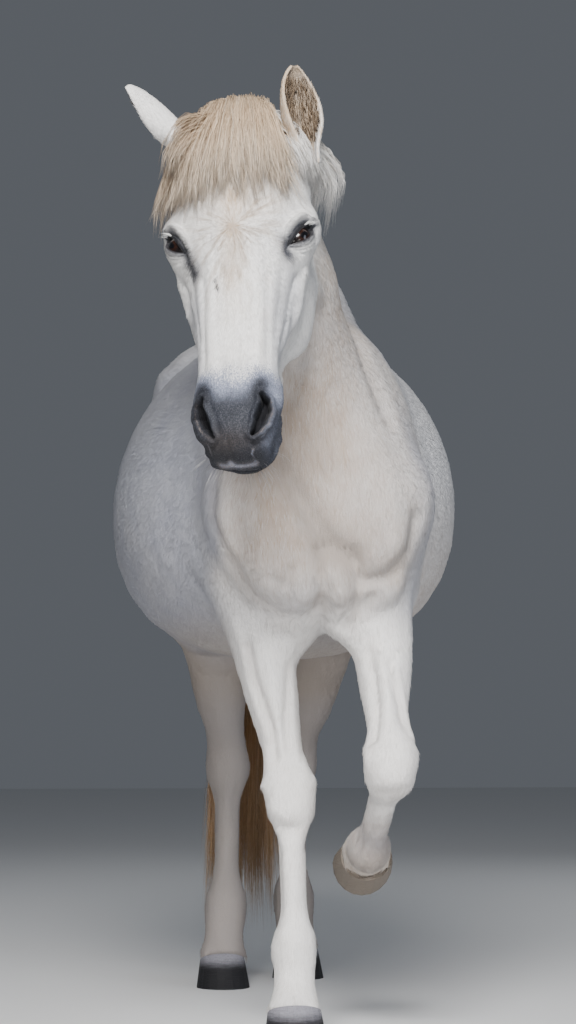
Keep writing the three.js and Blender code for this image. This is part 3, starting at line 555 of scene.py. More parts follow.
# Strokes on the neck, body and legs, in millimetres of the pony's frame: path, width, height
BODY_STROKES = [
    # neck set into the shoulder, both sides
    ([(40, 60, 1150), (47, 3, 1115), (64, -30, 1055), (82, -36, 1008), (94, -33, 969)], 17, -7.0),
    ([(70, 26, 1110), (92, 0, 1058), (106, -6, 1008), (114, -20, 960)], 22, 3.0),
    ([(-190, -40, 1060), (-178, -60, 990), (-160, -76, 930)], 20, -5.0),
    # shoulders
    ([(60, -92, 900), (84, -95, 830), (98, -88, 775)], 42, 15.0),
    ([(-158, -50, 812), (-150, -54, 774)], 20, 10.0),
    ([(-182, -30, 880), (-178, -32, 828), (-156, -36, 764), (-130, -32, 706), (-90, -36, 668),
      (-54, -8, 634)], 21, -8.0),
    # breast: two muscles, the furrows round them, and the creases where the forelegs join
    ([(-112, -76, 850), (-104, -86, 790), (-97, -80, 728)], 32, 11.0),
    ([(-42, -78, 722), (-34, -66, 690)], 22, 12.0),
    ([(14, -80, 722), (18, -66, 690)], 19, 11.0),
    ([(-14, -90, 760), (-10, -50, 690), (-8, -20, 668)], 11, -11.0),
    ([(-98, -30, 692), (-82, 8, 664), (-66, 34, 642), (-50, 58, 620)], 6, -6.5),
    ([(-84, -80, 900), (-44, -98, 835), (-6, -100, 775), (30, -98, 742)], 20, -12.0),
    ([(-84, -80, 722), (-72, -80, 706), (-60, -88, 730)], 10, -6.0),
    ([(38, -102, 760), (43, -92, 730), (46, -78, 704), (45, -46, 671), (46, -20, 650)], 9, -9.0),
    ([(132, -72, 812), (122, -70, 766), (94, -78, 722), (58, -88, 712)], 17, -9.0),
    ([(120, -58, 706), (98, -62, 676), (88, -48, 640)], 22, 9.0),
    ([(66, -66, 690), (60, -50, 650)], 9, -8.0),
]
LEG_STROKES = [
    # right foreleg: forearm muscles, knee, tendons, fetlock
    ([(-132, 57, 655), (-112, 50, 553), (-86, 41, 478)], 9, 5.0),
    ([(-116, 50, 620), (-104, 49, 569), (-79, 41, 498), (-71, 42, 440)], 8, -7.0),
    ([(-84, 46, 600), (-72, 42, 530), (-64, 38, 460)], 8, 4.0),
    ([(-48, 53, 590), (-54, 39, 510), (-52, 39, 460)], 9, -4.0),
    ([(-38, 58, 600), (-42, 46, 520), (-38, 44, 460)], 8, 3.0),
    ([(-66, 26, 424), (-40, 26, 424)], 11, -2.6),
    ([(-53, 20, 392), (-53, 22, 362)], 17, 4.5),
    ([(-74, 32, 394), (-74, 36, 366)], 13, 2.6),
    ([(-31, 30, 394), (-31, 34, 366)], 13, 2.6),
    ([(-66, 34, 332), (-42, 32, 332)], 13, -3.4),
    ([(-67, 54, 300), (-66, 56, 200)], 7, -4.5),
    ([(-34, 50, 300), (-36, 50, 200)], 7, -4.5),
    ([(-50, 34, 156), (-50, 36, 140)], 22, 4.5),
    ([(-74, 60, 150), (-74, 66, 136)], 12, 3.5),
    ([(-26, 58, 150), (-26, 64, 136)], 12, 3.5),
    # left foreleg: forearm muscles, knee
    ([(64, -40, 610), (71, -44, 577), (76, -62, 528), (69, -85, 474)], 8, -7.0),
    ([(88, -42, 610), (92, -60, 545), (92, -78, 484)], 9, 5.0),
    ([(98, -50, 590), (110, -62, 520), (116, -76, 470)], 7, -5.0),
    ([(107, -52, 580), (121, -60, 505), (127, -68, 476)], 6, 4.0),
    ([(68, -92, 452), (95, -98, 454), (122, -92, 452)], 7, -5.0),
    ([(80, -88, 428), (106, -90, 424)], 15, 5.0),
    ([(78, -88, 388), (102, -92, 388)], 13, -4.0),
]
# Where the insides of the forearms are widened: centre, and how far to the pony's left
FOREARM_TOPS = [((-40, 72, 630), 26), ((48, 20, 646), -32)]
FOREARM_REACH = (42, 60, 30)


def sculpt_body():
    mesh = skin.data
    co = coords(mesh)
    body = in_body(co)
    move = np.zeros(len(co))
    for path, width, height in BODY_STROKES + LEG_STROKES:
        low = np.min(path, axis=0) - 3 * width
        high = np.max(path, axis=0) + 3 * width
        near = np.all((body > low) & (body < high), axis=1)
        move[near] += height * stroke(body[near], path, width)
    move[near_head(co)] = 0
    co += normals(mesh) * (move * MM)[:, None]
    for centre, across in FOREARM_TOPS:
        co[:, 0] += across * MM * spot(body, centre, FOREARM_REACH)
    set_coords(mesh, co)
    breast = near_front(co) & (body[:, 2] > 560)
    relax(mesh, 3, 0.8 * breast)
    standing_knee = spot(body, (-88, 50, 398), (22, 40, 26))
    relax(mesh, 14, standing_knee)


sculpt_body()
nostril_depth = sculpt_head()
shade_smooth(skin.data)

skin_tree = BVHTree.FromPolygons(coords(skin.data).tolist(), [p.vertices[:] for p in skin.data.polygons])

# ---------------------------------------------------------------------------------------------------
# Markings and painted shade, the same on the skin and on every tuft, and the skin's unwrap

LIP_EDGES = [
    [(46, 505, -38), (43, 513, -44), (40, 521, -53), (34, 526, -68)],
    [(-47, 493, -28), (-35, 512, -31), (-23, 525, -35), (-19, 530, -42), (-21, 532, -60), (-24, 530, -70)],
]
SCAR = [(28, 266, -5), (25, 275, -6), (23, 284, -7)]
DARK_SOCKETS = {
    1: ([(79, 200, -27), (73, 213, -25), (67, 228, -23), (60, 245, -20)], 16, 0.55),
    -1: ([(-68, 206, -22), (-71, 220, -24), (-76, 225, -28)], 11, 0.2),
}
# The whorl of the face's hair, across and down the face
WHORL = (0, 191)

# Spots of colour and of painted shade: strength, centre and radii, in the head's frame for FACE and in the
# pony's for BODY
FACE_TAN = [
    (0.6, (0, 140, 8), (62, 42, 60)),
    (1.0, (0, 196, 10), (9, 10, 30)),
    (0.6, (2, 240, 4), (17, 70, 30)),
]
# Painted shade, grey, beside and below the left eye
FACE_COOL_SHADE = [(0.5, (-66, 196, -34), (16, 30, 24)), (0.4, (-72, 240, -50), (16, 30, 30))]
FACE_CREASE = [(0.6, (0, 195, 10), (9, 10, 30)), (0.3, (0, 236, 8), (13, 46, 30))]
# Warm tone, partly painted shade: the neck's front, the spots below the muzzle and the breast are shade
# painted under the head; the lifted pastern is dust and painted shade; the spot at the right hock is its own
# tan
BODY_TAN_AND_SHADE = [
    (0.5, (0, -30, 1110), (74, 130, 150)),
    (1.3, (-42, -80, 925), (55, 90, 85)),
    (0.6, (-40, -90, 800), (140, 90, 150)),
    (0.9, (88, 40, 300), (60, 60, 50)),
    (0.5, (-50, -85, 915), (42, 70, 60)),
    (0.55, (-74, 985, 430), (40, 40, 60)),
    (0.5, (108, -60, 735), (16, 30, 26)),
]
# Painted shade, grey: low on the breast above the right foreleg, and on the lifted foreleg's pastern under
# its fetlock
BODY_COOL_SHADE = [(0.4, (-65, -80, 640), (60, 60, 60)), (0.7, (88, 40, 305), (60, 60, 50))]
# Painted shade: below the muzzle, under the lifted fetlock, and on the breast
BODY_CREASE_SHADE = [
    (0.38, (-42, -80, 925), (48, 90, 85)),
    (0.95, (82, 70, 272), (60, 90, 44)),
    (0.62, (35, -90, 850), (100, 120, 160)),
    (0.5, (20, -90, 760), (80, 60, 50)),
]


def spots(points, table):
    return sum(strength * spot(points, centre, radii) for strength, centre, radii in table)


def soft_noise(u, v, seed):
    """Smooth random values from 0 to 1 over a grid of unit cells."""
    table = np.random.default_rng(seed).uniform(0, 1, (256, 256))
    i, j = np.floor(u).astype(int), np.floor(v).astype(int)
    f, g = smoothstep(0, 1, u - i), smoothstep(0, 1, v - j)
    low = table[i % 256, j % 256] * (1 - f) + table[(i + 1) % 256, j % 256] * f
    high = table[i % 256, (j + 1) % 256] * (1 - f) + table[(i + 1) % 256, (j + 1) % 256] * f
    return low * (1 - g) + high * g


def face_streaks(head):
    """Fine streaks that follow the hair out from the whorl and down the face, from 0 to 1."""
    x, y = head[:, 0] - WHORL[0], head[:, 1] - WHORL[1]
    reach = np.hypot(x, y)
    angle = np.arctan2(x, y)
    star = 0.6 * soft_noise(angle * 9, reach / 24, 3) + 0.4 * soft_noise(angle * 21, reach / 15, 5)
    down = 0.6 * soft_noise(x / 5, y / 34, 4) + 0.4 * soft_noise(x / 2.4, y / 18, 6)
    share = smoothstep(60, 140, reach) * (y > 0)
    return star * (1 - share) + down * share


def both_nostrils(head):
    """How far points of the muzzle lie outside the nearer nostril's opening."""
    return np.minimum(nostril_gap(head, 1), nostril_gap(head, -1))


def around_eye(points, side, depth, reach):
    """Which points lie round an eye, how far outside its opening they are, and which are above it."""
    local, radius, u, v = over_eye(points, side)
    gap, above, _ = slit_gap(u, v)
    return (local[:, 2] > depth) & (radius < reach), gap, above


def muzzle_marks(head):
    """The muzzle's grey, the black of nostrils and lips, with shade painted in the nostrils' hollows and
    along the mouth, the pink of the lip and the pale nostril rims.
    """
    x, y, z = head.T
    horns = sum(spot(head[:, :2], (NOSTRIL_SHIFT + side * 42, 440), (15, 26)) for side in (1, -1))
    slate = 0.5 * smoothstep(385, 445, y) + 0.5 * smoothstep(430, 480, y) + 0.5 * horns
    slate *= 1 - 0.8 * smoothstep(-60, -140, z) * smoothstep(485, 440, y)
    slate *= 1 - 0.24 * smoothstep(-24, -42, x) * smoothstep(425, 455, y)
    gap = both_nostrils(head)
    # Black inside the nostrils: the lining's own dark and painted shade of the hollow; darker round their
    # upper ends
    ink = smoothstep(1.0, -4.0, gap) * (0.6 + 0.4 * smoothstep(500, 470, y))
    ink += 0.4 * smoothstep(12, 0, gap) * smoothstep(480, 455, y)
    # Black along the mouth's line and under the upper lip: painted shade in the gap between the lips; darker
    # too low on the muzzle's left side
    ink += bell(z, lip_line(x, y), 3.4) * smoothstep(MOUTH_CORNER_Y, MOUTH_CORNER_Y + 12, y)
    ink += 0.6 * smoothstep(-97, -104, z) * smoothstep(470, 500, y) * (z > -150)
    ink += 0.3 * smoothstep(-26, -40, x) * smoothstep(-64, -80, z) * smoothstep(440, 470, y) * (z > -150)
    pink = 0.9 * spot(head, (13, 528, -58), (5, 8, 7))
    pink += 0.55 * smoothstep(508, 520, y) * bell(z, -70, 9) * smoothstep(38, 28, x) * smoothstep(-28, -19, x)
    for edge in LIP_EDGES:
        pink += 0.4 * stroke(head, edge, 1.6)
    pale = np.zeros(len(head))
    for side, (shift, _) in NOSTRIL_SIDES.items():
        outer = smoothstep(36, 44, x * side + shift + 0.2 * (y - 480))
        pale += bell(nostril_gap(head, side), 1.6, 1.0) * outer * smoothstep(452, 462, y) * 0.5
    return slate, ink, pink, pale


def eye_marks(points, head):
    """The dark skin round the eyes, with shade painted under the brows and in the lids' creases, and the
    black of the lids' edges.
    """
    socket = np.zeros(len(points))
    ink = np.zeros(len(points))
    for side in (1, -1):
        close, gap, above = around_eye(points, side, -2, 70)
        rim = np.where(above, smoothstep(16, 5, gap), 0.85 * smoothstep(7, 3.5, gap))
        # Shade painted under the brow and in the lid's crease, over the dark skin round the eye
        fold_shade = bell(gap, 6.0, 2.8) * np.where(above, 1.0, 0.5)
        brow_shade = np.where(above, smoothstep(22, 9, gap) * 0.72, smoothstep(16, 4, gap) * 0.5)
        socket = np.maximum(socket, close * np.clip(np.maximum(rim + fold_shade * 0.25, brow_shade), 0, 1))
        lid_edge = np.where(above, 0.95 * smoothstep(9, 2, gap), smoothstep(1.5, -0.5, gap))
        ink = np.maximum(ink, close * lid_edge)
        path, width, dark = DARK_SOCKETS[side]
        socket = np.maximum(socket, stroke(head, path, width))
        ink = np.maximum(ink, dark * stroke(head, path, 0.6 * width))
    return socket, ink


def face_tints(head):
    """Tan; grey painted as shade on the face's sides and round the eyes, blending into the muzzle's own grey;
    and a darker tone at the whorl and along the streaks round it.
    """
    x, y, z = head.T
    streaks = smoothstep(0.46, 0.80, face_streaks(head))
    tan = spots(head, FACE_TAN) + 0.6 * streaks * spot(head, (0, 195, 8), (66, 95, 60))
    # Grey painted as shade on the sides of the face and round the left eye, blending into the muzzle's own
    # grey at the bottom
    cool_grey_and_painted_shade = smoothstep(34, 60, np.abs(x)) * smoothstep(230, 300, y) * smoothstep(-120, -60, z) * 0.55
    cool_grey_and_painted_shade += spots(head, FACE_COOL_SHADE) + 0.35 * smoothstep(380, 430, y)
    crease = 0.55 * spot(head, (0, 200, 8), (58, 78, 60)) + 0.16 * smoothstep(60, 34, np.abs(x))
    crease = spots(head, FACE_CREASE) + streaks * crease
    return tan, cool_grey_and_painted_shade, crease * smoothstep(440, 400, y)


def body_tints(body):
    """Tan and dust, with shade painted in tan below the head and on the breast; grey painted as shade where
    the light falls off; and shade painted in the creases and under the belly: of neck, trunk and legs.
    """
    x, y, z = body.T
    # Tan and dust, with shade painted in tan below the head and down the front of the neck and breast; warmer
    # low on the barrel, and dustier down the legs and towards the back
    tan = spots(body, BODY_TAN_AND_SHADE)
    tan += 0.5 * smoothstep(940, 700, z) * smoothstep(60, 200, y)
    tan += 0.35 * smoothstep(150, 60, y) * smoothstep(620, 780, z) * smoothstep(1350, 1150, z)
    tan += smoothstep(760, 420, z) * (0.12 + 0.23 * smoothstep(250, 400, y))
    tan += 0.3 * smoothstep(170, 60, z) * smoothstep(250, 400, y)
    # Grey painted as shade: on the barrel and hind legs where the light falls off behind the shoulder, on the
    # sides facing away from the light, and on the breast
    cool_grey_and_painted_shade = smoothstep(0, 150, y) * smoothstep(560, 680, z) * smoothstep(1330, 1100, z)
    cool_grey_and_painted_shade *= 1 - 0.6 * smoothstep(40, 200, x)
    cool_grey_and_painted_shade += smoothstep(500, 700, y) * smoothstep(700, 560, z)
    cool_grey_and_painted_shade += 0.7 * spot(body, (-206, 300, 1070), (60, 260, 110))
    edge = smoothstep(126, 165, np.abs(x + 21)) * smoothstep(-90, -20, y) * smoothstep(600, 700, z)
    cool_grey_and_painted_shade = np.maximum(cool_grey_and_painted_shade, edge * smoothstep(1100, 980, z) * np.where(x < 0, 1.0, 0.45))
    cool_grey_and_painted_shade += 0.38 * smoothstep(80, -10, y) * smoothstep(600, 700, z) * smoothstep(1260, 1100, z)
    cool_grey_and_painted_shade += 0.12 * smoothstep(640, 580, z) * smoothstep(300, 200, y) + spots(body, BODY_COOL_SHADE)
    # Shade painted into the furrows of the strokes, below the muzzle, on the breast, under the lifted
    # fetlock, on the hind legs and under the belly, and a little on the upper neck
    crease = np.zeros(len(body))
    for path, width, height in BODY_STROKES + LEG_STROKES:
        if height < 0:
            near = np.abs(body - np.mean(path, axis=0)).max(1) < 190
            depth = stroke(body[near], path, 1.1 * width) * min(0.7, -height / 20)
            crease[near] = np.maximum(crease[near], depth)
    crease += spots(body, BODY_CREASE_SHADE) + 0.13 * smoothstep(960, 1060, z)
    crease += 0.95 * smoothstep(700, 900, y) * smoothstep(820, 660, z)
    crease += 0.6 * smoothstep(705, 630, z) * smoothstep(20, 120, y) * smoothstep(500, 620, z)
    return tan, cool_grey_and_painted_shade, crease


def markings(points):
    """The strength of each marking, painted shade among them, at places on the pony."""
    head, body = in_head(points), in_body(points)
    on_face = near_head(points)
    slate, ink, pink, pale = muzzle_marks(head)
    socket, lid_ink = eye_marks(points, head)
    scar = 0.9 * np.exp(-(distance_to_path(head, SCAR) / 2.0) ** 4)
    face_tan, face_grey_and_shade, face_crease = face_tints(head)
    body_tan_and_shade, body_cool_shade, body_crease_shade = body_tints(body)
    behind_ear = 2.6 * spot(body, (-84, -285, 1412), (40, 45, 56))
    return {
        "slate": on_face * np.clip(slate, 0, 1) * (1 - np.clip(pink, 0, 1) * 0.8),
        "ink": on_face * np.clip(np.maximum(ink, np.maximum(lid_ink, scar)), 0, 1),
        "socket": on_face * np.clip(socket, 0, 1),
        "pink": on_face * np.clip(np.maximum(pink, pale), 0, 1),
        "brown": on_face * spot(head, (10, 512, -42), (32, 17, 28)),
        # tan holds tan, dust and shade painted below the head; the grey and the crease values hold painted
        # shade, and on the face the crease holds the darker tone of the whorl and streaks
        "tan": np.clip(np.where(on_face, face_tan, np.clip(body_tan_and_shade, 0, 1)) + behind_ear, 0, 1),
        "cool_grey_and_painted_shade": np.clip(np.where(on_face, face_grey_and_shade, body_cool_shade), 0, 1),
        "crease": np.where(on_face, face_crease, body_crease_shade),
    }


def paint(mesh, points, repeat=1):
    for name, values in markings(points).items():
        point_values(mesh, name, np.repeat(values, repeat))


# Parts of the unwrap: the axis in the pony's frame, a radius, and the corner and size on the map
HEAD_AXIS = ((-163, -240, 1400), (-175, -410, 860))
UNWRAP = [
    (*HEAD_AXIS, 110, 0.0, 0.5, 0.5, 0.5),
    ((-120, -180, 1330), (0, 130, 1040), 150, 0.5, 0.5, 0.25, 0.5),
    ((0, -60, 880), (0, 1150, 900), 270, 0.0, 0.0, 0.5, 0.5),
    ((-60, 80, 700), (-43, 10, 0), 55, 0.5, 0.0, 0.12, 0.5),
    ((92, 50, 720), (90, 90, 240), 55, 0.62, 0.0, 0.12, 0.5),
    ((-105, 960, 780), (-85, 930, 0), 65, 0.74, 0.0, 0.12, 0.5),
    ((105, 940, 780), (68, 1120, 0), 65, 0.86, 0.0, 0.12, 0.5),
    ((-66, -276, 1370), (-72, -292, 1466), 30, 0.76, 0.5, 0.11, 0.4),
    ((-234, -276, 1360), (-321, -280, 1428), 30, 0.88, 0.5, 0.11, 0.4),
]


def unwrap(points):
    """Places on a map of the skin: turn round and way along the nearest part's axis."""
    best = np.full(len(points), 1e9)
    place = np.zeros((len(points), 2))
    for start, end, radius, left, low, wide, high in UNWRAP:
        start, end = at(*start), at(*end)
        axis = end - start
        length = np.linalg.norm(axis)
        axis /= length
        along = (points - start) @ axis / length
        from_axis = points - start - np.clip(along, 0, 1)[:, None] * axis * length
        distance = np.linalg.norm(from_axis, axis=1) / (radius * MM)
        aside = unit(np.cross(axis, (0.1, 0.3, 1.0) if abs(axis[2]) < 0.8 else (0.1, -1.0, 0.2)))
        turn = np.arctan2(from_axis @ aside, from_axis @ np.cross(axis, aside)) / (2 * math.pi) + 0.5
        turn = 0.02 + 0.96 * turn
        way = 0.02 + 0.96 * np.clip(along * 0.9 + 0.05, 0, 1)
        nearer = distance < best
        best = np.where(nearer, distance, best)
        place[nearer] = np.stack([left + wide * turn, low + high * way], 1)[nearer]
    return place


# The side of a tuft's or hair's patch on the map
PATCH = 0.003


def lay_patches(mesh, centres, offsets):
    """The OFBake map: centres are the patches' places, offsets each shape's corners inside its patch."""
    per_point = (centres[:, None, :] + offsets[None] * PATCH).reshape(-1, 2)
    corner = np.empty(len(mesh.loops), np.int32)
    mesh.loops.foreach_get("vertex_index", corner)
    layer = mesh.uv_layers.new(name="OFBake")
    layer.data.foreach_set("uv", per_point[corner].astype(np.float32).ravel())


# ---------------------------------------------------------------------------------------------------
# Finishes


class Signal:
    """A value inside a material that takes part in sums."""

    def __init__(self, finish, socket):
        self.finish = finish
        self.socket = socket

    def math(self, operation, other=None, swap=False):
        values = [self] if other is None else [other, self] if swap else [self, other]
        return self.finish.node("ShaderNodeMath", {"operation": operation}, dict(enumerate(values)))

    def __add__(self, other):
        return self.math("ADD", other)

    def __sub__(self, other):
        return self.math("SUBTRACT", other)

    def __rsub__(self, other):
        return self.math("SUBTRACT", other, swap=True)

    def __mul__(self, other):
        return self.math("MULTIPLY", other)

    __radd__ = __add__
    __rmul__ = __mul__

    def ramp(self, low, high):
        """0 below low, 1 above high, smooth between; low may be the greater."""
        sockets = {"From Min": low, "From Max": high, "Value": self}
        return self.finish.node("ShaderNodeMapRange", {"interpolation_type": "SMOOTHSTEP"}, sockets)


class Finish:
    """A material in the making."""

    def __init__(self, name, **constants):
        self.material = bpy.data.materials.new(name)
        self.material.use_nodes = True
        self.tree = self.material.node_tree
        self.surface = self.tree.nodes["Principled BSDF"]
        for socket, value in constants.items():
            self.put(socket.replace("_", " "), value)

    def plug(self, socket, value):
        if isinstance(value, Signal):
            self.tree.links.new(value.socket, socket)
        else:
            socket.default_value = value

    def put(self, socket, value):
        self.plug(self.surface.inputs[socket], value)

    def node(self, kind, settings=(), sockets=(), output=0):
        made = self.tree.nodes.new(kind)
        for name, value in dict(settings).items():
            setattr(made, name, value)
        for key, value in dict(sockets).items():
            self.plug(made.inputs[key], value)
        return Signal(self, made.outputs[output])

    def vector(self, operation, *values, output="Vector"):
        return self.node("ShaderNodeVectorMath", {"operation": operation}, dict(enumerate(values)), output)

    def value(self, attribute):
        return self.node("ShaderNodeAttribute", {"attribute_name": attribute}, output="Fac")

    def place(self, stretch=(1, 1, 1)):
        spot_in = self.node("ShaderNodeTexCoord", output="Object")
        return self.node("ShaderNodeMapping", {}, {"Vector": spot_in, "Scale": stretch})

    def noise(self, place, scale, detail=2.0, roughness=0.5):
        sockets = {"Vector": place, "Scale": scale, "Detail": detail, "Roughness": roughness}
        return self.node("ShaderNodeTexNoise", {}, sockets, "Fac")

    def mix(self, one, other, share):
        return self.node("ShaderNodeMix", {"data_type": "RGBA"}, {0: share, 6: one, 7: other}, 2)

    def bump(self, height, distance, strength=1.0):
        sockets = {"Height": height, "Distance": distance, "Strength": strength}
        self.put("Normal", self.node("ShaderNodeBump", {}, sockets, "Normal"))


WHITE = (0.81, 0.795, 0.775, 1)
SHADE_WHITE = (0.62, 0.605, 0.59, 1)
TAN_AND_SHADE = (0.48, 0.335, 0.20, 1)
COOL_GREY_AND_SHADE = (0.27, 0.285, 0.34, 1)
MIST = (0.21, 0.23, 0.30, 1)
SLATE = (0.019, 0.021, 0.028, 1)
PALE_SLATE = (0.12, 0.125, 0.15, 1)
INK = (0.008, 0.008, 0.010, 1)
DARK_SKIN_AND_SHADE = (0.035, 0.037, 0.048, 1)
PINK = (0.25, 0.20, 0.165, 1)
BROWN = (0.045, 0.036, 0.030, 1)
CREASE_SHADE_AND_STREAKS = (0.30, 0.26, 0.23, 1)


def coat_finish(name, fine_bump):
    finish = Finish(name, Specular_IOR_Level=0.12, Sheen_Weight=0.04, Sheen_Roughness=0.6)
    place = finish.place()
    streaks = finish.noise(finish.place((1, 1, 0.22)), 420, 2, 0.6)
    cloud = finish.noise(place, 9, 4, 0.6)
    patches = finish.noise(place, 34, 3, 0.55)
    speck = finish.noise(place, 520, 1, 0.4)
    tint = finish.value("tint")
    colour = finish.mix(WHITE, SHADE_WHITE, (streaks + tint).ramp(0.75, 1.6) * 0.8)
    tan_clouds = (cloud * 0.7 + patches * 0.4).ramp(0.0, 0.75) * (tint * 0.7 + 0.55)
    # Tan, dust, and shade painted in tan below the head
    colour = finish.mix(colour, TAN_AND_SHADE, finish.value("tan") * tan_clouds)
    # Grey painted as shade
    colour = finish.mix(colour, COOL_GREY_AND_SHADE, finish.value("cool_grey_and_painted_shade") * (cloud * 0.45 + 0.62))
    # Shade painted in the creases, and a darker tone at the face's whorl and streaks
    colour = finish.mix(colour, CREASE_SHADE_AND_STREAKS, finish.value("crease") * 0.8)
    slate = finish.value("slate")
    freckles = (speck - 0.5) * 1.5 * (1 - slate) + (patches - 0.5) * 0.5 + (tint - 0.5) * 0.3
    colour = finish.mix(colour, MIST, (slate + freckles * slate.ramp(0.0, 0.2)).ramp(0.10, 0.55))
    colour = finish.mix(colour, SLATE, (slate + freckles * 0.6).ramp(0.42, 0.95))
    pale_specks = (speck + patches * 0.4).ramp(0.66, 0.95)
    colour = finish.mix(colour, PALE_SLATE, slate.ramp(0.6, 0.9) * pale_specks * 0.3)
    colour = finish.mix(colour, BROWN, finish.value("brown") * speck.ramp(0.2, 0.55))
    colour = finish.mix(colour, PINK, finish.value("pink") * (patches * 0.5 + speck * 1.5).ramp(0.78, 1.25))
    # Dark skin round the eyes, with shade painted under the brows
    colour = finish.mix(colour, DARK_SKIN_AND_SHADE, finish.value("socket") * (speck * 0.4 + 0.75))
    colour = finish.mix(colour, INK, finish.value("ink"))
    finish.put("Base Color", colour)
    finish.put("Roughness", 0.78 - (slate + finish.value("socket")) * 0.25)
    if fine_bump:
        folds = finish.noise(finish.place((1, 1, 0.5)), 60, 3, 0.6)
        finish.bump(streaks * 0.6 + folds * 0.5 + speck * 0.3, 0.0016)
    return finish.material


skin_material = coat_finish("skin", True)
tuft_material = coat_finish("coat tufts", False)

PALE_HAIR = (0.86, 0.82, 0.74, 1)


def hair_finish(name, root, middle, tip, dark, pale=0.6):
    """Strands from root to tip, each with its own tint, some of them dark and some pale."""
    finish = Finish(name, Specular_IOR_Level=0.4)
    along = finish.value("along")
    tint = finish.value("tint")
    colour = finish.mix(root, middle, along.ramp(0.0, 0.45))
    colour = finish.mix(colour, tip, along.ramp(0.45, 1.0))
    colour = finish.mix(colour, dark, tint.ramp(0.52, 0.1) * (1 - along * 0.4))
    finish.put("Base Color", finish.mix(colour, PALE_HAIR, tint.ramp(0.62, 1.0) * pale))
    finish.put("Roughness", 0.56 - tint * 0.1)
    return finish.material


forelock_material = hair_finish("forelock", (0.45, 0.335, 0.22, 1), (0.66, 0.50, 0.34, 1),
                                (0.73, 0.63, 0.52, 1), (0.17, 0.115, 0.075, 1), 0.5)
mane_material = hair_finish("mane", (0.76, 0.73, 0.68, 1), (0.87, 0.85, 0.82, 1),
                            (0.88, 0.86, 0.84, 1), (0.52, 0.47, 0.41, 1))
tail_material = hair_finish("tail", (0.50, 0.42, 0.34, 1), (0.32, 0.135, 0.035, 1),
                            (0.60, 0.40, 0.22, 1), (0.06, 0.026, 0.010, 1), 0.35)
whisker_material = hair_finish("whiskers", (0.2, 0.2, 0.2, 1), (0.45, 0.44, 0.43, 1),
                               (0.5, 0.49, 0.48, 1), (0.1, 0.1, 0.1, 1))
white_hair_material = hair_finish("white hair", (0.7, 0.7, 0.7, 1), (0.82, 0.82, 0.8, 1),
                                  (0.85, 0.85, 0.83, 1), (0.5, 0.5, 0.52, 1))
ear_hair_material = hair_finish("ear hair", (0.055, 0.038, 0.024, 1), (0.14, 0.094, 0.057, 1),
                                (0.39, 0.28, 0.18, 1), (0.05, 0.036, 0.024, 1), 0.25)

# How much of the eyeball, in millimetres, its map spans
BALL_MAP = 60
PUPIL_FLATTENING = 100 / 60


def eye_finish():
    finish = Finish("eye", Specular_IOR_Level=0.3, Coat_Weight=0.45, Coat_Roughness=0.03, Roughness=0.2)
    ball = finish.node("ShaderNodeUVMap", {"uv_map": "ball"})
    centred = finish.vector("SUBTRACT", ball, (0.5, 0.5, 0))
    reach = finish.vector("LENGTH", centred, output="Value") * BALL_MAP
    flat = finish.vector("MULTIPLY", centred, (BALL_MAP, PUPIL_FLATTENING * BALL_MAP, 0))
    pupil = finish.vector("LENGTH", flat, output="Value")
    fibre = finish.noise(finish.place(), 420, 3, 0.7)
    iris = finish.mix((0.026, 0.010, 0.006, 1), (0.009, 0.004, 0.003, 1), fibre.ramp(0.3, 0.7))
    colour = finish.mix(iris, (0.006, 0.004, 0.004, 1), reach.ramp(9.0, 13.5))
    colour = finish.mix(colour, (0.002, 0.002, 0.003, 1), pupil.ramp(8.2, 6.6))
    finish.put("Base Color", colour)
    return finish.material


eye_material = eye_finish()
lid_material = Finish("lid edge", Base_Color=(0.03, 0.028, 0.032, 1), Roughness=0.28,
                      Coat_Weight=0.6).material


def horn_finish(name, low, high, dust):
    finish = Finish(name, Specular_IOR_Level=0.35)
    rings = finish.noise(finish.place((6, 6, 60)), 6, 3, 0.6)
    scratches = finish.noise(finish.place((40, 40, 5)), 14, 3, 0.7)
    height = finish.node("ShaderNodeSeparateXYZ", {}, {0: finish.place()}, "Z")
    colour = finish.mix(low, high, (height + rings * 0.012).ramp(0.040, 0.062))
    colour = finish.mix(colour, dust, scratches.ramp(0.45, 0.8) * 0.55)
    finish.put("Base Color", colour)
    finish.put("Roughness", 0.5 + scratches * 0.3)
    finish.bump(rings + scratches * 0.35, 0.0022)
    return finish.material


dark_horn = horn_finish("dark horn", (0.008, 0.008, 0.010, 1), (0.22, 0.215, 0.245, 1),
                        (0.035, 0.033, 0.033, 1))
pale_horn = horn_finish("pale horn", (0.18, 0.15, 0.12, 1), (0.18, 0.15, 0.12, 1), (0.10, 0.08, 0.065, 1))

for name, material in (("hoof_fore_right", dark_horn), ("hoof_hind_right", dark_horn),
                       ("hoof_hind_left", dark_horn), ("hoof_fore_left", pale_horn)):
    wear(node[name], material)

paint(skin.data, coords(skin.data))
# Inside the nostrils the skin is painted black by depth: the lining's own dark and painted shade of the
# hollow
ink = np.empty(len(skin.data.vertices), np.float32)
skin.data.attributes["ink"].data.foreach_get("value", ink)
point_values(skin.data, "ink", np.maximum(ink, nostril_depth))
point_values(skin.data, "tint", np.full(len(ink), 0.5))
wear(skin, skin_material)

# ---------------------------------------------------------------------------------------------------
# Eyes


CORNEA_RISE = 2.2
CORNEA_RADIUS = 14
BACK_OF_BALL = (0.02, 0.02)


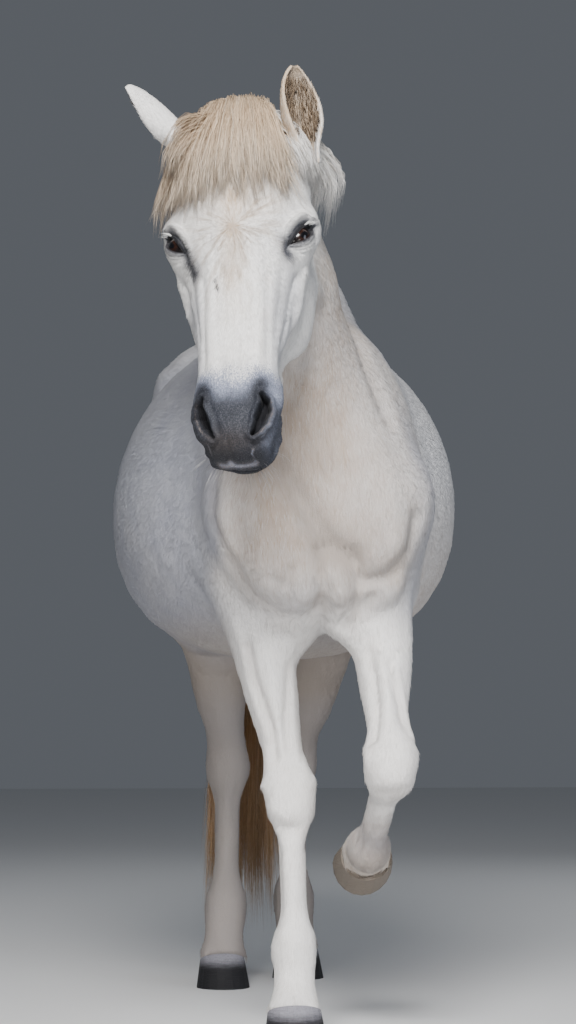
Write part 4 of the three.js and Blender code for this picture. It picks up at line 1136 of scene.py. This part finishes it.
def make_eye(name, side):
    """The ball with its cornea, and the map ball, which has all of the ball's back in one corner."""
    centre, axes = eye_frame(side)
    bm = bmesh.new()
    bmesh.ops.create_uvsphere(bm, u_segments=64, v_segments=40, radius=EYE_RADIUS)
    layer = bm.loops.layers.uv.new("ball")
    for v in bm.verts:
        u, w, height = v.co
        bulge = CORNEA_RISE * max(0.0, 1 - math.hypot(u, w) / CORNEA_RADIUS) ** 1.2 if height > 0 else 0
        v.co = v.co * (1 + bulge / EYE_RADIUS)
    for f in bm.faces:
        for loop in f.loops:
            u, w, height = loop.vert.co
            loop[layer].uv = BACK_OF_BALL if height < 0 else (u / BALL_MAP + 0.5, w / BALL_MAP + 0.5)
    turned = Matrix((axes @ HEAD * MM).T.tolist()).to_4x4()
    bmesh.ops.transform(bm, matrix=Matrix.Translation(Vector(on_head(*centre))) @ turned, verts=bm.verts)
    bmesh.ops.recalc_face_normals(bm, faces=bm.faces)
    piece = dress(name, mesh_of(bm, name), eye_material)
    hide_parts("eye_right" if side > 0 else "eye_left")


RIM_STEPS = 48
RIM_SIDES = 7
RIM_RADIUS = 1.4


def make_lid_rims(name, side):
    """The bare wet edges of the lids, which lie on the eyeball."""
    u = SLIT_HALF * np.cos(np.linspace(0, 2 * math.pi, RIM_STEPS, endpoint=False))
    upper, lower = lids(u)
    line = on_lids(side, u, np.where(np.arange(RIM_STEPS) < RIM_STEPS / 2, upper, lower), 1.2)
    centre = on_head(*eye_frame(side)[0])
    bm = bmesh.new()
    rows = []
    for i in range(RIM_STEPS):
        away = unit(line[i] - centre)
        aside = np.cross(unit(line[(i + 1) % RIM_STEPS] - line[i - 1]), away)
        row = []
        for k in range(RIM_SIDES):
            angle = 2 * math.pi * k / RIM_SIDES
            outward = away * math.cos(angle) + aside * math.sin(angle)
            row.append(bm.verts.new(line[i] + outward * RIM_RADIUS * MM))
        rows.append(row)
    for i in range(RIM_STEPS):
        for k in range(RIM_SIDES):
            a, b = rows[i], rows[(i + 1) % RIM_STEPS]
            bm.faces.new((a[k], a[(k + 1) % RIM_SIDES], b[(k + 1) % RIM_SIDES], b[k]))
    bmesh.ops.recalc_face_normals(bm, faces=bm.faces)
    dress(name, mesh_of(bm, name), lid_material)


make_eye("eyeball_right", 1)
make_eye("eyeball_left", -1)
make_lid_rims("lid_edges_right", 1)
make_lid_rims("lid_edges_left", -1)

# ---------------------------------------------------------------------------------------------------
# Ears

# Each ear's base and tip in the pony's frame, the way it opens, half its width, and how far its tip leans
EARS = {
    "ear_left": ((-64, -272, 1345), (-74, -292, 1463), (0.5, -0.86, 0), 29.5, 0.5),
    "ear_right": ((-232, -276, 1352), (-321, -280, 1428), (-0.2, 0.55, -0.85), 23.5, 0),
}
EAR_RISES = [-0.2, 0.0, 0.12, 0.32, 0.52, 0.66, 0.78, 0.88, 0.96, 1.0]
EAR_WIDTHS = [0.62, 0.62, 0.72, 0.94, 1.0, 0.93, 0.77, 0.57, 0.34, 0.10]
EAR_WALL = 4.4


def ear_axes(name):
    """An ear's base, axis, length, the ways to its front and across, half its width and its lean."""
    base, tip, front, half, lean = EARS[name]
    base, tip = at(*base), at(*tip)
    axis = tip - base
    length = np.linalg.norm(axis)
    axis /= length
    front = np.array(front, float)
    front = unit(front - front @ axis * axis)
    across = np.cross(axis, front)
    return SimpleNamespace(base=base, axis=axis, length=length, front=front, across=across,
                           half=half, lean=lean)


def ear_places(name, aside, rise, inset=0.0):
    """Points of an ear's leaf: aside is -1 to 1 between its edges, rise 0 at the head and 1 at the tip."""
    ear = ear_axes(name)
    wide = np.interp(rise, EAR_RISES, EAR_WIDTHS) * ear.half * MM
    up = np.clip(rise, 0, 1)
    reach = 2.45 - 1.55 * up**0.8
    radius = wide / np.sin(np.minimum(reach, math.pi / 2))
    angle = aside * reach
    x = (radius - inset * MM) * np.sin(angle) + ear.lean * MM * up**2 * 3
    z = radius * 0.55 - (radius - inset * MM) * np.cos(angle)
    up_axis = (rise * ear.length)[..., None] * ear.axis
    return ear.base + x[..., None] * ear.across + up_axis + z[..., None] * ear.front


def in_ear(name, points, n):
    """1 on the lining of an ear, 0 outside it and on its edges."""
    ear = ear_axes(name)
    local = points - ear.base
    inward = -(local - (local @ ear.axis)[:, None] * ear.axis)
    facing = (unit(inward) * n).sum(1)
    shut = (local @ ear.front) / (ear.half * MM)
    return smoothstep(0.2, 0.6, facing) * smoothstep(0.58, 0.12, shut)


def make_ear(name):
    ear = ear_axes(name)
    low = EAR_RISES[0]
    bm = bmesh.new()
    bmesh.ops.create_grid(bm, x_segments=24, y_segments=26, size=1)
    grid = np.array([v.co[:] for v in bm.verts])
    placed = ear_places(name, grid[:, 0], low + (1 - low) * (grid[:, 1] + 1) / 2)
    for v, co in zip(bm.verts, placed):
        v.co = co
    bm.normal_update()
    middle = Vector(ear_places(name, np.array([0.0]), np.array([0.4]))[0])
    middle_face = min(bm.faces, key=lambda f: (f.calc_center_median() - middle).length)
    if middle_face.normal.dot(Vector(ear.front)) < 0:
        bmesh.ops.reverse_faces(bm, faces=bm.faces)
    piece = add_object(name + "_leaf", mesh_of(bm, name + "_leaf"))
    wall = piece.modifiers.new("wall", "SOLIDIFY")
    wall.thickness = EAR_WALL * MM
    wall.offset = -1
    smooth = piece.modifiers.new("round", "SUBSURF")
    smooth.levels = 1
    smooth.render_levels = 1
    apply_modifiers(piece)
    leaf = piece.data
    shade_smooth(leaf)
    co = coords(leaf)
    paint(leaf, co)
    lined = in_ear(name, co, normals(leaf))
    # The lining is painted dark brown, darkest in a streak down one side: partly its own colour, partly
    # painted shade of the hollow
    streak = 0.55 + 0.45 * bell((co - ear.base) @ ear.across / (ear.half * MM), -0.38, 0.34)
    point_values(leaf, "brown", lined * streak)
    point_values(leaf, "tan", np.ones(len(co)) if name == "ear_left" else lined * 0.8)
    point_values(leaf, "tint", np.full(len(co), 0.5))
    wear(piece, skin_material)
    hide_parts(name)
    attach(piece, "root")


for name in EARS:
    make_ear(name)

# ---------------------------------------------------------------------------------------------------
# Strands: thin three-sided hairs along guide curves, joined as one mesh


def spline(points, t):
    """Points of uniform Catmull-Rom curves: points (n, k, 3), t (n, m) from 0 to 1."""
    k = points.shape[1]
    before = 2 * points[:, :1] - points[:, 1:2]
    after = 2 * points[:, -1:] - points[:, -2:-1]
    ends = np.concatenate([before, points, after], 1)
    place = np.clip(t, 0, 0.9999) * (k - 1)
    i = place.astype(int)
    f = (place - i)[..., None]
    rows = np.arange(len(points))[:, None]
    p0, p1, p2, p3 = (ends[rows, i + j] for j in range(4))
    return 0.5 * (2 * p1 + (p2 - p0) * f + (2 * p0 - 5 * p1 + 4 * p2 - p3) * f**2
                  + (3 * p1 - p0 - 3 * p2 + p3) * f**3)


def on_curve(curve, t):
    """One point of one curve."""
    return spline(curve[None], np.array([[t]]))[0, 0]


def spike_faces(rings, total):
    """The faces of many three-sided spikes, each a run of rings of three points and a tip."""
    one = [(2, 1, 0)]
    for r in range(rings - 1):
        for k in range(3):
            a, b = r * 3 + k, r * 3 + (k + 1) % 3
            one += [(a, b, b + 3), (a, b + 3, a + 3)]
    last = (rings - 1) * 3
    one += [(last + k, last + (k + 1) % 3, rings * 3) for k in range(3)]
    starts = np.arange(total)[:, None, None] * (rings * 3 + 1)
    return (np.array(one)[None] + starts).reshape(-1, 3)


def strands(name, material, guides, middles, count, width, depth, radius, clump, wave, rings,
            shortest=0.72, tints=None):
    """Each guide becomes a lock of count hairs, spread over its width and depth and drawn in at its tip.

    Width, depth, radius and wave are in millimetres; clump is the share of the spread lost at the tip."""
    locks = len(guides)
    total = locks * count
    guide = np.repeat(guides, count, 0)
    middle = np.repeat(middles, count, 0)
    reach = rng.uniform(shortest, 1.0, (total, 1))
    t = np.linspace(0, 1, rings + 1)[None, :] * reach
    path = spline(guide, t)
    tangent = unit(np.gradient(path, axis=1))
    away = path - middle[:, None, :]
    face = unit(away - (away * tangent).sum(-1, keepdims=True) * tangent)
    side = np.cross(tangent, face)
    spread = 1 - clump * t[..., None]
    aside = rng.uniform(-1, 1, (total, 1, 1)) * width * MM * spread
    lift = rng.uniform(-1, 1, (total, 1, 1)) * depth * MM * spread
    phase = rng.uniform(0, 2 * math.pi, (2, total, 1, 1))
    turns = rng.uniform(0.6, 1.6, (total, 1, 1))
    wander = wave * MM * t[..., None]
    aside = aside + wander * np.sin(turns * 6.3 * t[..., None] + phase[0])
    lift = lift + 0.6 * wander * np.sin(turns * 5.1 * t[..., None] + phase[1])
    path = path + side * aside + face * lift
    taper = radius * MM * (1 - 0.75 * (t / reach)[..., None] ** 2)
    turn0 = rng.uniform(0, 2 * math.pi, (total, 1, 1))
    corners = []
    for k in range(3):
        angle = turn0 + 2 * math.pi * k / 3
        corners.append(path[:, :-1] + (side * np.cos(angle) + face * np.sin(angle))[:, :-1] * taper[:, :-1])
    body = np.stack(corners, 2).reshape(total, rings * 3, 3)
    vertices = np.concatenate([body, path[:, -1:]], 1)
    mesh = from_arrays(name, vertices.reshape(-1, 3), spike_faces(rings, total))
    along = np.concatenate([np.repeat(t[:, :-1], 3, 1), t[:, -1:]], 1)
    lock_tint = np.repeat(rng.uniform(0, 1, locks) if tints is None else tints, count)
    tint = 0.55 * lock_tint + 0.45 * rng.uniform(0, 1, total)
    point_values(mesh, "along", along.ravel())
    point_values(mesh, "tint", np.repeat(tint, rings * 3 + 1))
    places = unwrap(path[:, 0])
    places = (places - places.min(0)) / np.maximum(np.ptp(places, axis=0), 1e-6) * 0.98 + 0.01
    corner_u = np.tile([-0.5, 0.0, 0.5], rings)
    corner_v = np.repeat(np.linspace(-0.5, 0.4, rings), 3)
    lay_patches(mesh, places, np.stack([np.append(corner_u, 0), np.append(corner_v, 0.5)], 1))
    return dress(name, mesh, material)


def fine_hairs(name, material, guides, radius, wave):
    """One hair for each guide."""
    strands(name, material, guides, guides[:, 0] - 0.1, count=1, width=0, depth=0, radius=radius,
            clump=0, wave=wave, rings=3)


def surface(origin, direction):
    """Where the way from a place inside the skin comes out of it, or 0.1 m on where it hits nothing."""
    hit = skin_tree.ray_cast(Vector(origin), Vector(direction))[0]
    return np.array(hit) if hit is not None else origin + direction * 0.1


CROWN_Y = 40
CROWN_HALF_WIDTH = 56


def over_skull(angle, y, rise, lift):
    """A point over the skull: angle turns from the face to the pony's right, rise up over the poll."""
    origin = on_head(CROWN_HALF_WIDTH * math.sin(angle) * math.sin(rise), y, -88)
    level = math.cos(rise)
    local = np.array([math.sin(angle) * level, -math.sin(rise), math.cos(angle) * level])
    direction = local @ HEAD
    return surface(origin, direction) + direction * lift * MM


def ear_locks(count, route, spread):
    """Locks that fall across the front of an ear's root, from places in the head's frame."""
    route = np.array(route, float)
    return [[on_head(*point) for point in route + rng.normal(0, spread, 3) * (0.6, 1, 0.6)
             + rng.normal(0, 3, route.shape)] for _ in range(count)]


BROW_LOCKS = 230
TEMPLE_LOCKS = 75
FORELOCK_EAR_LOCKS = 40
WISP_LOCKS = 200


def forelock_guides():
    guides = []
    for _ in range(BROW_LOCKS):
        angle = rng.uniform(-0.95, 1.1)
        height = rng.uniform(0, 1)
        reach = 1.0 if rng.uniform() < 0.45 else rng.uniform(0.42, 1.0)
        end = 161 + 17 * angle + rng.normal(0, 19) - 14 * height
        end = CROWN_Y + (end - CROWN_Y) * reach
        fan = rng.uniform(0.15, 0.8)
        lift = 5 + 25 * height
        sweep = rng.normal(0, 0.05)
        guides.append([
            over_skull(angle * fan * 0.45, CROWN_Y, 1.4 + rng.uniform(0, 0.6), 5 + 15 * height),
            over_skull(angle * (0.35 + 0.25 * fan), CROWN_Y, 0.85, 12 + lift),
            over_skull(angle * 0.8 + sweep, CROWN_Y + (end - CROWN_Y) * 0.38, 0, 5 + lift * 0.85),
            over_skull(angle * 1.12 + 3 * sweep + rng.normal(0, 0.09), end, 0,
                       0.5 + lift * 0.14 * rng.uniform(0.1, 1.6)),
        ])
    for _ in range(TEMPLE_LOCKS):
        angle = rng.uniform(0.92, 1.62)
        height = rng.uniform(0, 1)
        end = rng.uniform(96, 166)
        guides.append([
            over_skull(angle * 0.5, CROWN_Y, 1.3, 6),
            over_skull(angle * 0.85, CROWN_Y, 0.6, 12 + 24 * height),
            over_skull(angle, CROWN_Y + (end - CROWN_Y) * 0.45, 0, 6 + 24 * height),
            over_skull(angle + rng.normal(0, 0.13), end, 0, 4 + 24 * height * rng.uniform(0.3, 1.3)),
        ])
    guides += ear_locks(FORELOCK_EAR_LOCKS, [(18, 8, -44), (50, 6, -10), (82, 40, 6), (96, 92, -12)], 12)
    return np.array(guides)


brain = on_head(0, 70, -130)
guides = forelock_guides()
# Locks that fall to the pony's right get darker tints: painted shade on that side of the forelock
turned = np.maximum(in_head(guides[:, -1])[:, 0], 0)
tints = rng.uniform(0, 1, len(guides)) * (1 - 0.75 * smoothstep(40, 85, turned))
forelock = strands("forelock_hair", forelock_material, guides, np.tile(brain, (len(guides), 1)),
                   count=17, width=9, depth=4, radius=0.45, clump=0.86, wave=3.0, rings=5,
                   tints=tints)
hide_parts("forelock")
few = rng.choice(BROW_LOCKS, WISP_LOCKS)
stray = rng.normal(0, 0.009, (WISP_LOCKS, 4, 3)) * np.array([0, 0.3, 0.8, 1.0])[None, :, None]
wisps = guides[few] + stray
wisps[:, 3] += (wisps[:, 3] - wisps[:, 2]) * rng.uniform(-0.3, 0.35, (WISP_LOCKS, 1))
strands("forelock_wisps", forelock_material, wisps, np.tile(brain, (WISP_LOCKS, 1)),
        count=5, width=12, depth=3, radius=0.4, clump=0.2, wave=5.0, rings=5)


def ear_guides(name, count):
    """Hairs inside an ear, from its wall up and out over the opening."""
    ear = ear_axes(name)
    aside = rng.uniform(-0.98, 0.98, count)
    rise = rng.uniform(0.05, 0.84, count)
    root = ear_places(name, aside, rise, 2)
    inward = -np.sign(aside)[:, None] * ear.across * rng.uniform(0.1, 0.5, count)[:, None]
    grow = unit(ear.axis + ear.front * 0.28 * (1 - np.abs(aside)[:, None]) + inward)
    long = (rng.uniform(12, 26, count) * (1.05 - 0.5 * rise) * smoothstep(1.1, 0.7, rise))[:, None] * MM
    return np.stack([root, root + grow * long * 0.5, root + unit(grow + ear.axis * 0.6) * long], 1)


EAR_HAIRS = 800
LASHES = 30
WHISKERS = 80

for name in EARS:
    fine_hairs(name + "_hair", ear_hair_material, ear_guides(name, EAR_HAIRS), radius=0.4, wave=0.8)


def lash_guides(side, count):
    """Upper lashes, longest at the outer corner."""
    u = -SLIT_HALF * rng.uniform(0.42, 0.98, count)
    root = on_lids(side, u, lids(u)[0] + rng.uniform(0, 1.5, count), 2.2)
    slit_way, up_eye, out_eye = eye_frame(side)[1] @ HEAD
    outer = smoothstep(0, -SLIT_HALF, u)[:, None]
    grow = unit(out_eye * 0.9 + up_eye * (0.35 - 0.3 * outer) - slit_way * (0.25 + 0.8 * outer)
                + rng.normal(0, 0.12, (count, 3)))
    long = (7 + 10 * outer) * rng.uniform(0.7, 1.2, (count, 1)) * MM
    down = np.array([0, 0, -0.25])
    return np.stack([root, root + grow * long * 0.5, root + unit(grow + down) * long], 1)


def whisker_guides(count):
    middle = on_head(8, 478, -92)
    guides = []
    for _ in range(count):
        turn = rng.uniform(1.2, 3.1) * rng.choice([-1, 1])
        fall = rng.uniform(0.5, 2.0)
        way = unit(np.array([math.sin(turn), fall, math.cos(turn) * 0.9])) @ HEAD
        hit = skin_tree.ray_cast(Vector(middle), Vector(way))[0]
        if hit is None:
            continue
        root = np.array(hit)
        long = rng.uniform(22, 52) * MM
        guides.append([root, root + way * long * 0.5, root + (way * 0.9 + np.array([0, 0, -0.25])) * long])
    return np.array(guides)


for side, name in ((1, "right"), (-1, "left")):
    fine_hairs(f"lashes_{name}", white_hair_material, lash_guides(side, LASHES), radius=0.32, wave=0.3)
fine_hairs("whiskers", whisker_material, whisker_guides(WHISKERS), radius=0.17, wave=0.3)

CREST_LOCKS = 210
TUFT_LOCKS = 80
MANE_EAR_LOCKS = 34
CREST = np.array([at(-14, 140, 1205), at(-74, -30, 1281), at(-148, -208, 1337)])
TUFT = [(-150, -200, 1364), (-76, -214, 1382), (-2, -206, 1330), (-8, -206, 1236)]


def over_neck(t, angle, lift):
    """A point over the neck: t goes along the crest, angle turns from straight up to the pony's right."""
    ahead_way = on_curve(CREST, min(t + 0.02, 1)) - on_curve(CREST, max(t - 0.02, 0))
    direction = UP * math.cos(angle) + unit(np.cross(ahead_way, UP)) * math.sin(angle)
    return surface(on_curve(CREST, t), direction) + direction * lift * MM


def mane_guides():
    guides = []
    middles = []
    for _ in range(CREST_LOCKS):
        t = rng.uniform(-0.02, 1.0)
        fall = 1.95 + rng.normal(0, 0.12)
        height = rng.uniform(0, 1)
        lean = -0.02 + rng.normal(0, 0.012)
        bends = [(-0.1, 0), (fall * 0.3, 3 + 12 * height), (fall * 0.66, 2 + 11 * height),
                 (fall, 2 + 8 * height)]
        guides.append([over_neck(np.clip(t + lean * k, 0, 1), a, lift) for k, (a, lift) in enumerate(bends)])
        middle = on_curve(CREST, np.clip(t, 0, 1))
        middles.append([middle[0], middle[1], 1.18])
    for _ in range(TUFT_LOCKS):
        back = rng.uniform(-6, 52)
        inward = rng.uniform(-3, 46)
        end = rng.uniform(-18, 90)
        drift = rng.uniform(-11, 11, 3)
        guides.append([
            at(x - inward * (0.3 if k == 0 else 1) + drift[0] * k / 2, y + back + drift[1],
               z + (end if k == 3 else 0) + drift[2] + rng.normal(0, 4))
            for k, (x, y, z) in enumerate(TUFT)
        ])
        middles.append(at(-140, -60, 1250))
    guides += ear_locks(MANE_EAR_LOCKS, [(-34, 4, -54), (-64, 12, -36), (-92, 48, -36), (-108, 100, -62)], 10)
    middles += [brain] * MANE_EAR_LOCKS
    return np.array(guides), np.array(middles)


guides, middles = mane_guides()
mane = strands("mane_hair", mane_material, guides, middles,
               count=20, width=9, depth=3, radius=0.5, clump=0.82, wave=4.0, rings=5)
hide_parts("mane")

DOCK = np.array([at(0, 1180, 1126), at(0, 1232, 1070), at(-8, 1262, 930), at(-20, 1268, 700)])
TAIL_LOCKS = 240


def tail_guides():
    guides = []
    middles = []
    for _ in range(TAIL_LOCKS):
        turn = rng.uniform(0, 2 * math.pi)
        ring = math.sqrt(rng.uniform(0.05, 1))
        outward = np.array([math.sin(turn) * ring, abs(math.cos(turn)) * ring * 0.85 - 0.1, 0])
        s = rng.uniform(0.02, 0.62)
        start = on_curve(DOCK, s)
        end = 62 + 210 * rng.uniform(0, 1) ** 1.7
        x = -28 + outward[0] * 80
        where = in_body(start)
        route = [
            start + outward * 10 * MM,
            start + outward * 42 * MM + np.array([0, 6, -70]) * MM,
            at(where[0] * 0.2 + x * 0.8, 1262 + outward[1] * 48, where[2] * 0.4 + end * 0.6),
            at(x + rng.normal(0, 6), 1250 + outward[1] * 40, end),
        ]
        guides.append(route)
        middles.append(route[2] - unit(outward + 1e-6) * 0.6)
    return np.array(guides), np.array(middles)


guides, middles = tail_guides()
tail = strands("tail_hair", tail_material, guides, middles,
               count=18, width=13, depth=8, radius=0.6, clump=0.5, wave=9.0, rings=7, shortest=0.86)
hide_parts("tail")

# ---------------------------------------------------------------------------------------------------
# Coat: short flat tufts, each a thin three-sided spike that follows the lie of the hair


def lie_of_head(local):
    """The lie of the face's hair: out from the whorl, then down the face and forward on the muzzle."""
    x, y = local.T[:2]
    from_whorl = np.stack([x - WHORL[0], y - WHORL[1], np.zeros(len(x))], 1)
    reach = np.linalg.norm(from_whorl, axis=1)
    star = unit(from_whorl)
    ones = np.ones(len(x))
    down = np.stack([x * 0.008, ones, -0.25 * smoothstep(35, 80, np.abs(x))], 1)
    share = (smoothstep(55, 150, reach) * (y > WHORL[1]))[:, None]
    lie = star * (1 - share) + down * share
    muzzle = smoothstep(440, 480, y)[:, None]
    return unit(lie * (1 - muzzle) + np.stack([x * 0.02, ones, -0.4 * ones], 1) * muzzle)


def lie_of_coat(points):
    x, y, z = in_body(points).T
    back = smoothstep(-120, 260, y) * smoothstep(560, 760, z)
    lie = np.stack([np.sign(x + 10) * 0.12 * back, 0.12 + 0.9 * back, -1 + 0.35 * back], 1)
    neck = smoothstep(1000, 1180, z)
    lie += np.stack([0.1 * neck, 0.5 * neck, -0.2 * neck], 1)
    swirl = np.sin(x * 0.011 + 1.3) * np.cos(y * 0.009) * 0.22
    lie[:, 0] += swirl * smoothstep(560, 760, z)
    face = near_head(points)
    lie[face] = lie_of_head(in_head(points[face])) @ HEAD
    return unit(lie)


def scatter(mesh, count, density):
    """Random places on a mesh, with its outward directions, denser where density is greater."""
    mesh.calc_loop_triangles()
    corner = np.empty(len(mesh.loop_triangles) * 3, np.int32)
    mesh.loop_triangles.foreach_get("vertices", corner)
    corner = corner.reshape(-1, 3)
    co, n = coords(mesh), normals(mesh)
    a, b, c = co[corner[:, 0]], co[corner[:, 1]], co[corner[:, 2]]
    weight = np.linalg.norm(np.cross(b - a, c - a), axis=1) * density((a + b + c) / 3)
    pick = np.searchsorted(np.cumsum(weight), rng.uniform(0, weight.sum(), count))
    pick = np.minimum(pick, len(corner) - 1)
    r, q = np.sqrt(rng.uniform(0, 1, count)), rng.uniform(0, 1, count)
    share = np.stack([1 - r, r * (1 - q), r * q], 1)[..., None]
    return (co[corner[pick]] * share).sum(1), unit((n[corner[pick]] * share).sum(1))


TUFT_FACES = np.array([(0, 1, 3), (1, 2, 3), (2, 0, 3), (0, 2, 1)])
TUFT_MAP = np.array([(-0.5, -0.5), (0.5, -0.5), (0, -0.2), (0, 0.5)])
ROOT_DEPTH = 0.0006
RIDGE_LIFT = 0.0007


def coat_piece(name, points, n, lie, length, width, lean):
    """Tufts as one mesh: length and width in millimetres, lean the tangent of the angle they stand off at."""
    lie = lie + rng.normal(0, 0.16, lie.shape)
    lie = unit(lie - (lie * n).sum(1, keepdims=True) * n)
    side = np.cross(n, lie)
    count = len(points)
    length = (length * rng.uniform(0.7, 1.25, count) * MM)[:, None]
    width = (width * rng.uniform(0.75, 1.2, count) * MM)[:, None]
    lean = np.asarray(lean).reshape(-1, 1) * rng.uniform(0.5, 1.6, (count, 1))
    root = points - n * ROOT_DEPTH
    corners = np.stack([
        root - side * width / 2,
        root + side * width / 2,
        root + n * (RIDGE_LIFT + width * 0.25) - lie * width * 0.4,
        root + lie * length + n * (length * lean + ROOT_DEPTH),
    ], 1)
    faces = TUFT_FACES[None] + np.arange(count)[:, None, None] * 4
    mesh = from_arrays(name, corners.reshape(-1, 3), faces.reshape(-1, 3))
    facing = np.stack([n - side * 0.4, n + side * 0.4, n - lie * 0.15, n + lie * 0.25], 1)
    mesh.normals_split_custom_set_from_vertices(unit(facing).reshape(-1, 3).tolist())
    paint(mesh, points, 4)
    point_values(mesh, "tint", np.repeat(rng.uniform(0, 1, count), 4))
    lay_patches(mesh, unwrap(points), TUFT_MAP)
    dress(name, mesh, tuft_material)


def open_skin(points):
    """Leaves out the eyes' openings and the insides of the nostrils."""
    keep = both_nostrils(in_head(points)) > 0.5
    for side in (1, -1):
        close, gap, above = around_eye(points, side, 0, 60)
        keep &= ~(close & (gap < np.where(above, 8.5, 3.0)))
    return keep


def away_from_eyes(points):
    """0 at the lids' edges, 1 some way from the eyes."""
    far = np.ones(len(points))
    for side in (1, -1):
        close, gap, _ = around_eye(points, side, -4, 60)
        far = np.where(close, np.minimum(far, smoothstep(4, 26, gap)), far)
    return far


def head_density(points):
    return near_head(points) * (0.35 + 0.65 * smoothstep(-150, -80, in_head(points)[:, 2]))


def body_density(points):
    z = in_body(points)[:, 2]
    return (~near_head(points)) * (0.7 + 1.0 * smoothstep(640, 420, z) + 0.5 * smoothstep(900, 1100, z))


FACE_PIECES = 2
BODY_PIECES = 3
PIECE_TUFTS = 46000
EAR_TUFTS = 9000


def grow_coat():
    for i in range(FACE_PIECES):
        points, n = scatter(skin.data, PIECE_TUFTS, head_density)
        keep = open_skin(points)
        points, n = points[keep], n[keep]
        short = smoothstep(400, 450, in_head(points)[:, 1])
        length = (8.5 - 5 * short) * (0.35 + 0.65 * away_from_eyes(points))
        coat_piece(f"coat_face_{i + 1}", points, n, lie_of_coat(points), length,
                   width=1.15 - 0.35 * short, lean=0.12)
    for i in range(BODY_PIECES):
        points, n = scatter(skin.data, PIECE_TUFTS, body_density)
        z = in_body(points)[:, 2]
        leg = smoothstep(620, 420, z)
        length = 15 - 4 * leg + 8 * smoothstep(90, 40, z)
        coat_piece(f"coat_body_{i + 1}", points, n, lie_of_coat(points), length,
                   width=2.3 - 0.8 * leg, lean=0.08)


def grow_ear_coat(name):
    ear = ear_axes(name)
    leaf = bpy.data.objects[name + "_leaf"]
    points, n = scatter(leaf.data, EAR_TUFTS, lambda places: np.ones(len(places)))
    outside = in_ear(name, points, n) < 0.3
    points, n = points[outside], n[outside]
    length = 7 - 5.2 * smoothstep(0.72, 1.0, (points - ear.base) @ ear.axis / ear.length)
    coat_piece(name + "_coat", points, n, np.tile(ear.axis, (len(points), 1)), length, width=1.1, lean=0.14)


grow_coat()
for name in EARS:
    grow_ear_coat(name)

# ---------------------------------------------------------------------------------------------------
# Camera, light and floor

CAMERA_DISTANCE = 4200
CAMERA_TURN = math.radians(-5.5)
CAMERA_HEIGHT = 511
CAMERA_ASIDE = 55
FOCAL_PIXELS = 2688
PITCH_PIXELS = 202
PICTURE_HEIGHT = 1024
SENSOR_WIDTH = 36
CAMERA_PITCH = math.atan(PITCH_PIXELS / FOCAL_PIXELS)

level_right = np.array([math.cos(CAMERA_TURN), math.sin(CAMERA_TURN), 0])
level_ahead = np.array([-math.sin(CAMERA_TURN), math.cos(CAMERA_TURN), 0])
ahead = level_ahead * math.cos(CAMERA_PITCH) + UP * math.sin(CAMERA_PITCH)
camera_up = UP * math.cos(CAMERA_PITCH) - level_ahead * math.sin(CAMERA_PITCH)
camera_place = at(*(-CAMERA_DISTANCE * level_ahead - CAMERA_ASIDE * level_right + CAMERA_HEIGHT * UP))

camera = bpy.data.objects.new("camera", bpy.data.cameras.new("camera"))
bpy.context.scene.collection.objects.link(camera)
turn = Matrix([level_right, camera_up, -ahead]).transposed().to_4x4()
camera.matrix_world = Matrix.Translation(Vector(camera_place)) @ turn
camera.data.sensor_width = SENSOR_WIDTH
camera.data.lens = FOCAL_PIXELS * SENSOR_WIDTH / PICTURE_HEIGHT
camera.data.clip_end = 100
bpy.context.scene.camera = camera


def soft_light(name, place, target, size, power, colour, spread):
    light = bpy.data.lights.new(name, "AREA")
    light.shape = "DISK"
    light.size = size
    light.energy = power
    light.spread = math.radians(spread)
    light.color = colour
    lamp = bpy.data.objects.new(name, light)
    bpy.context.scene.collection.objects.link(lamp)
    lamp.location = place
    lamp.rotation_mode = "QUATERNION"
    lamp.rotation_quaternion = (Vector(target) - Vector(place)).to_track_quat("-Z", "Y")


# Name, place, target, size in metres, power in watts, colour and spread in degrees
LIGHTS = [
    ("key", (-0.45, -3.1, 2.6), (-0.15, -0.4, 1.05), 1.2, 190, (1, 0.99, 0.98), 180),
    ("low key", (-1.05, -3.3, 0.6), (-0.05, 0, 0.22), 0.8, 3.0, (1, 0.99, 0.98), 40),
    ("low fill", (0.55, -3.3, 0.55), (0.05, 0, 0.22), 0.8, 1.6, (1, 0.98, 0.96), 40),
    ("fill", (2.6, -2.4, 1.4), (0, -0.2, 0.8), 1.6, 24, (0.80, 0.88, 1), 180),
    ("back", (1.6, 3.4, 3.0), (0, 0, 0.8), 2.6, 18, (0.9, 0.95, 1), 180),
]
SKY_COLOUR = (0.82, 0.89, 1, 1)
SKY_STRENGTH = 0.13
FLOOR_HALF = 14

for light in LIGHTS:
    soft_light(*light)

world = bpy.data.worlds.new("studio")
world.use_nodes = True
sky = world.node_tree.nodes["Background"].inputs
sky["Color"].default_value = SKY_COLOUR
sky["Strength"].default_value = SKY_STRENGTH
bpy.context.scene.world = world

floor_maker = bmesh.new()
bmesh.ops.create_grid(floor_maker, x_segments=1, y_segments=1, size=FLOOR_HALF)
floor = add_object("floor", mesh_of(floor_maker, "floor"))

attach(skin, "root")
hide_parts(*FLESH)
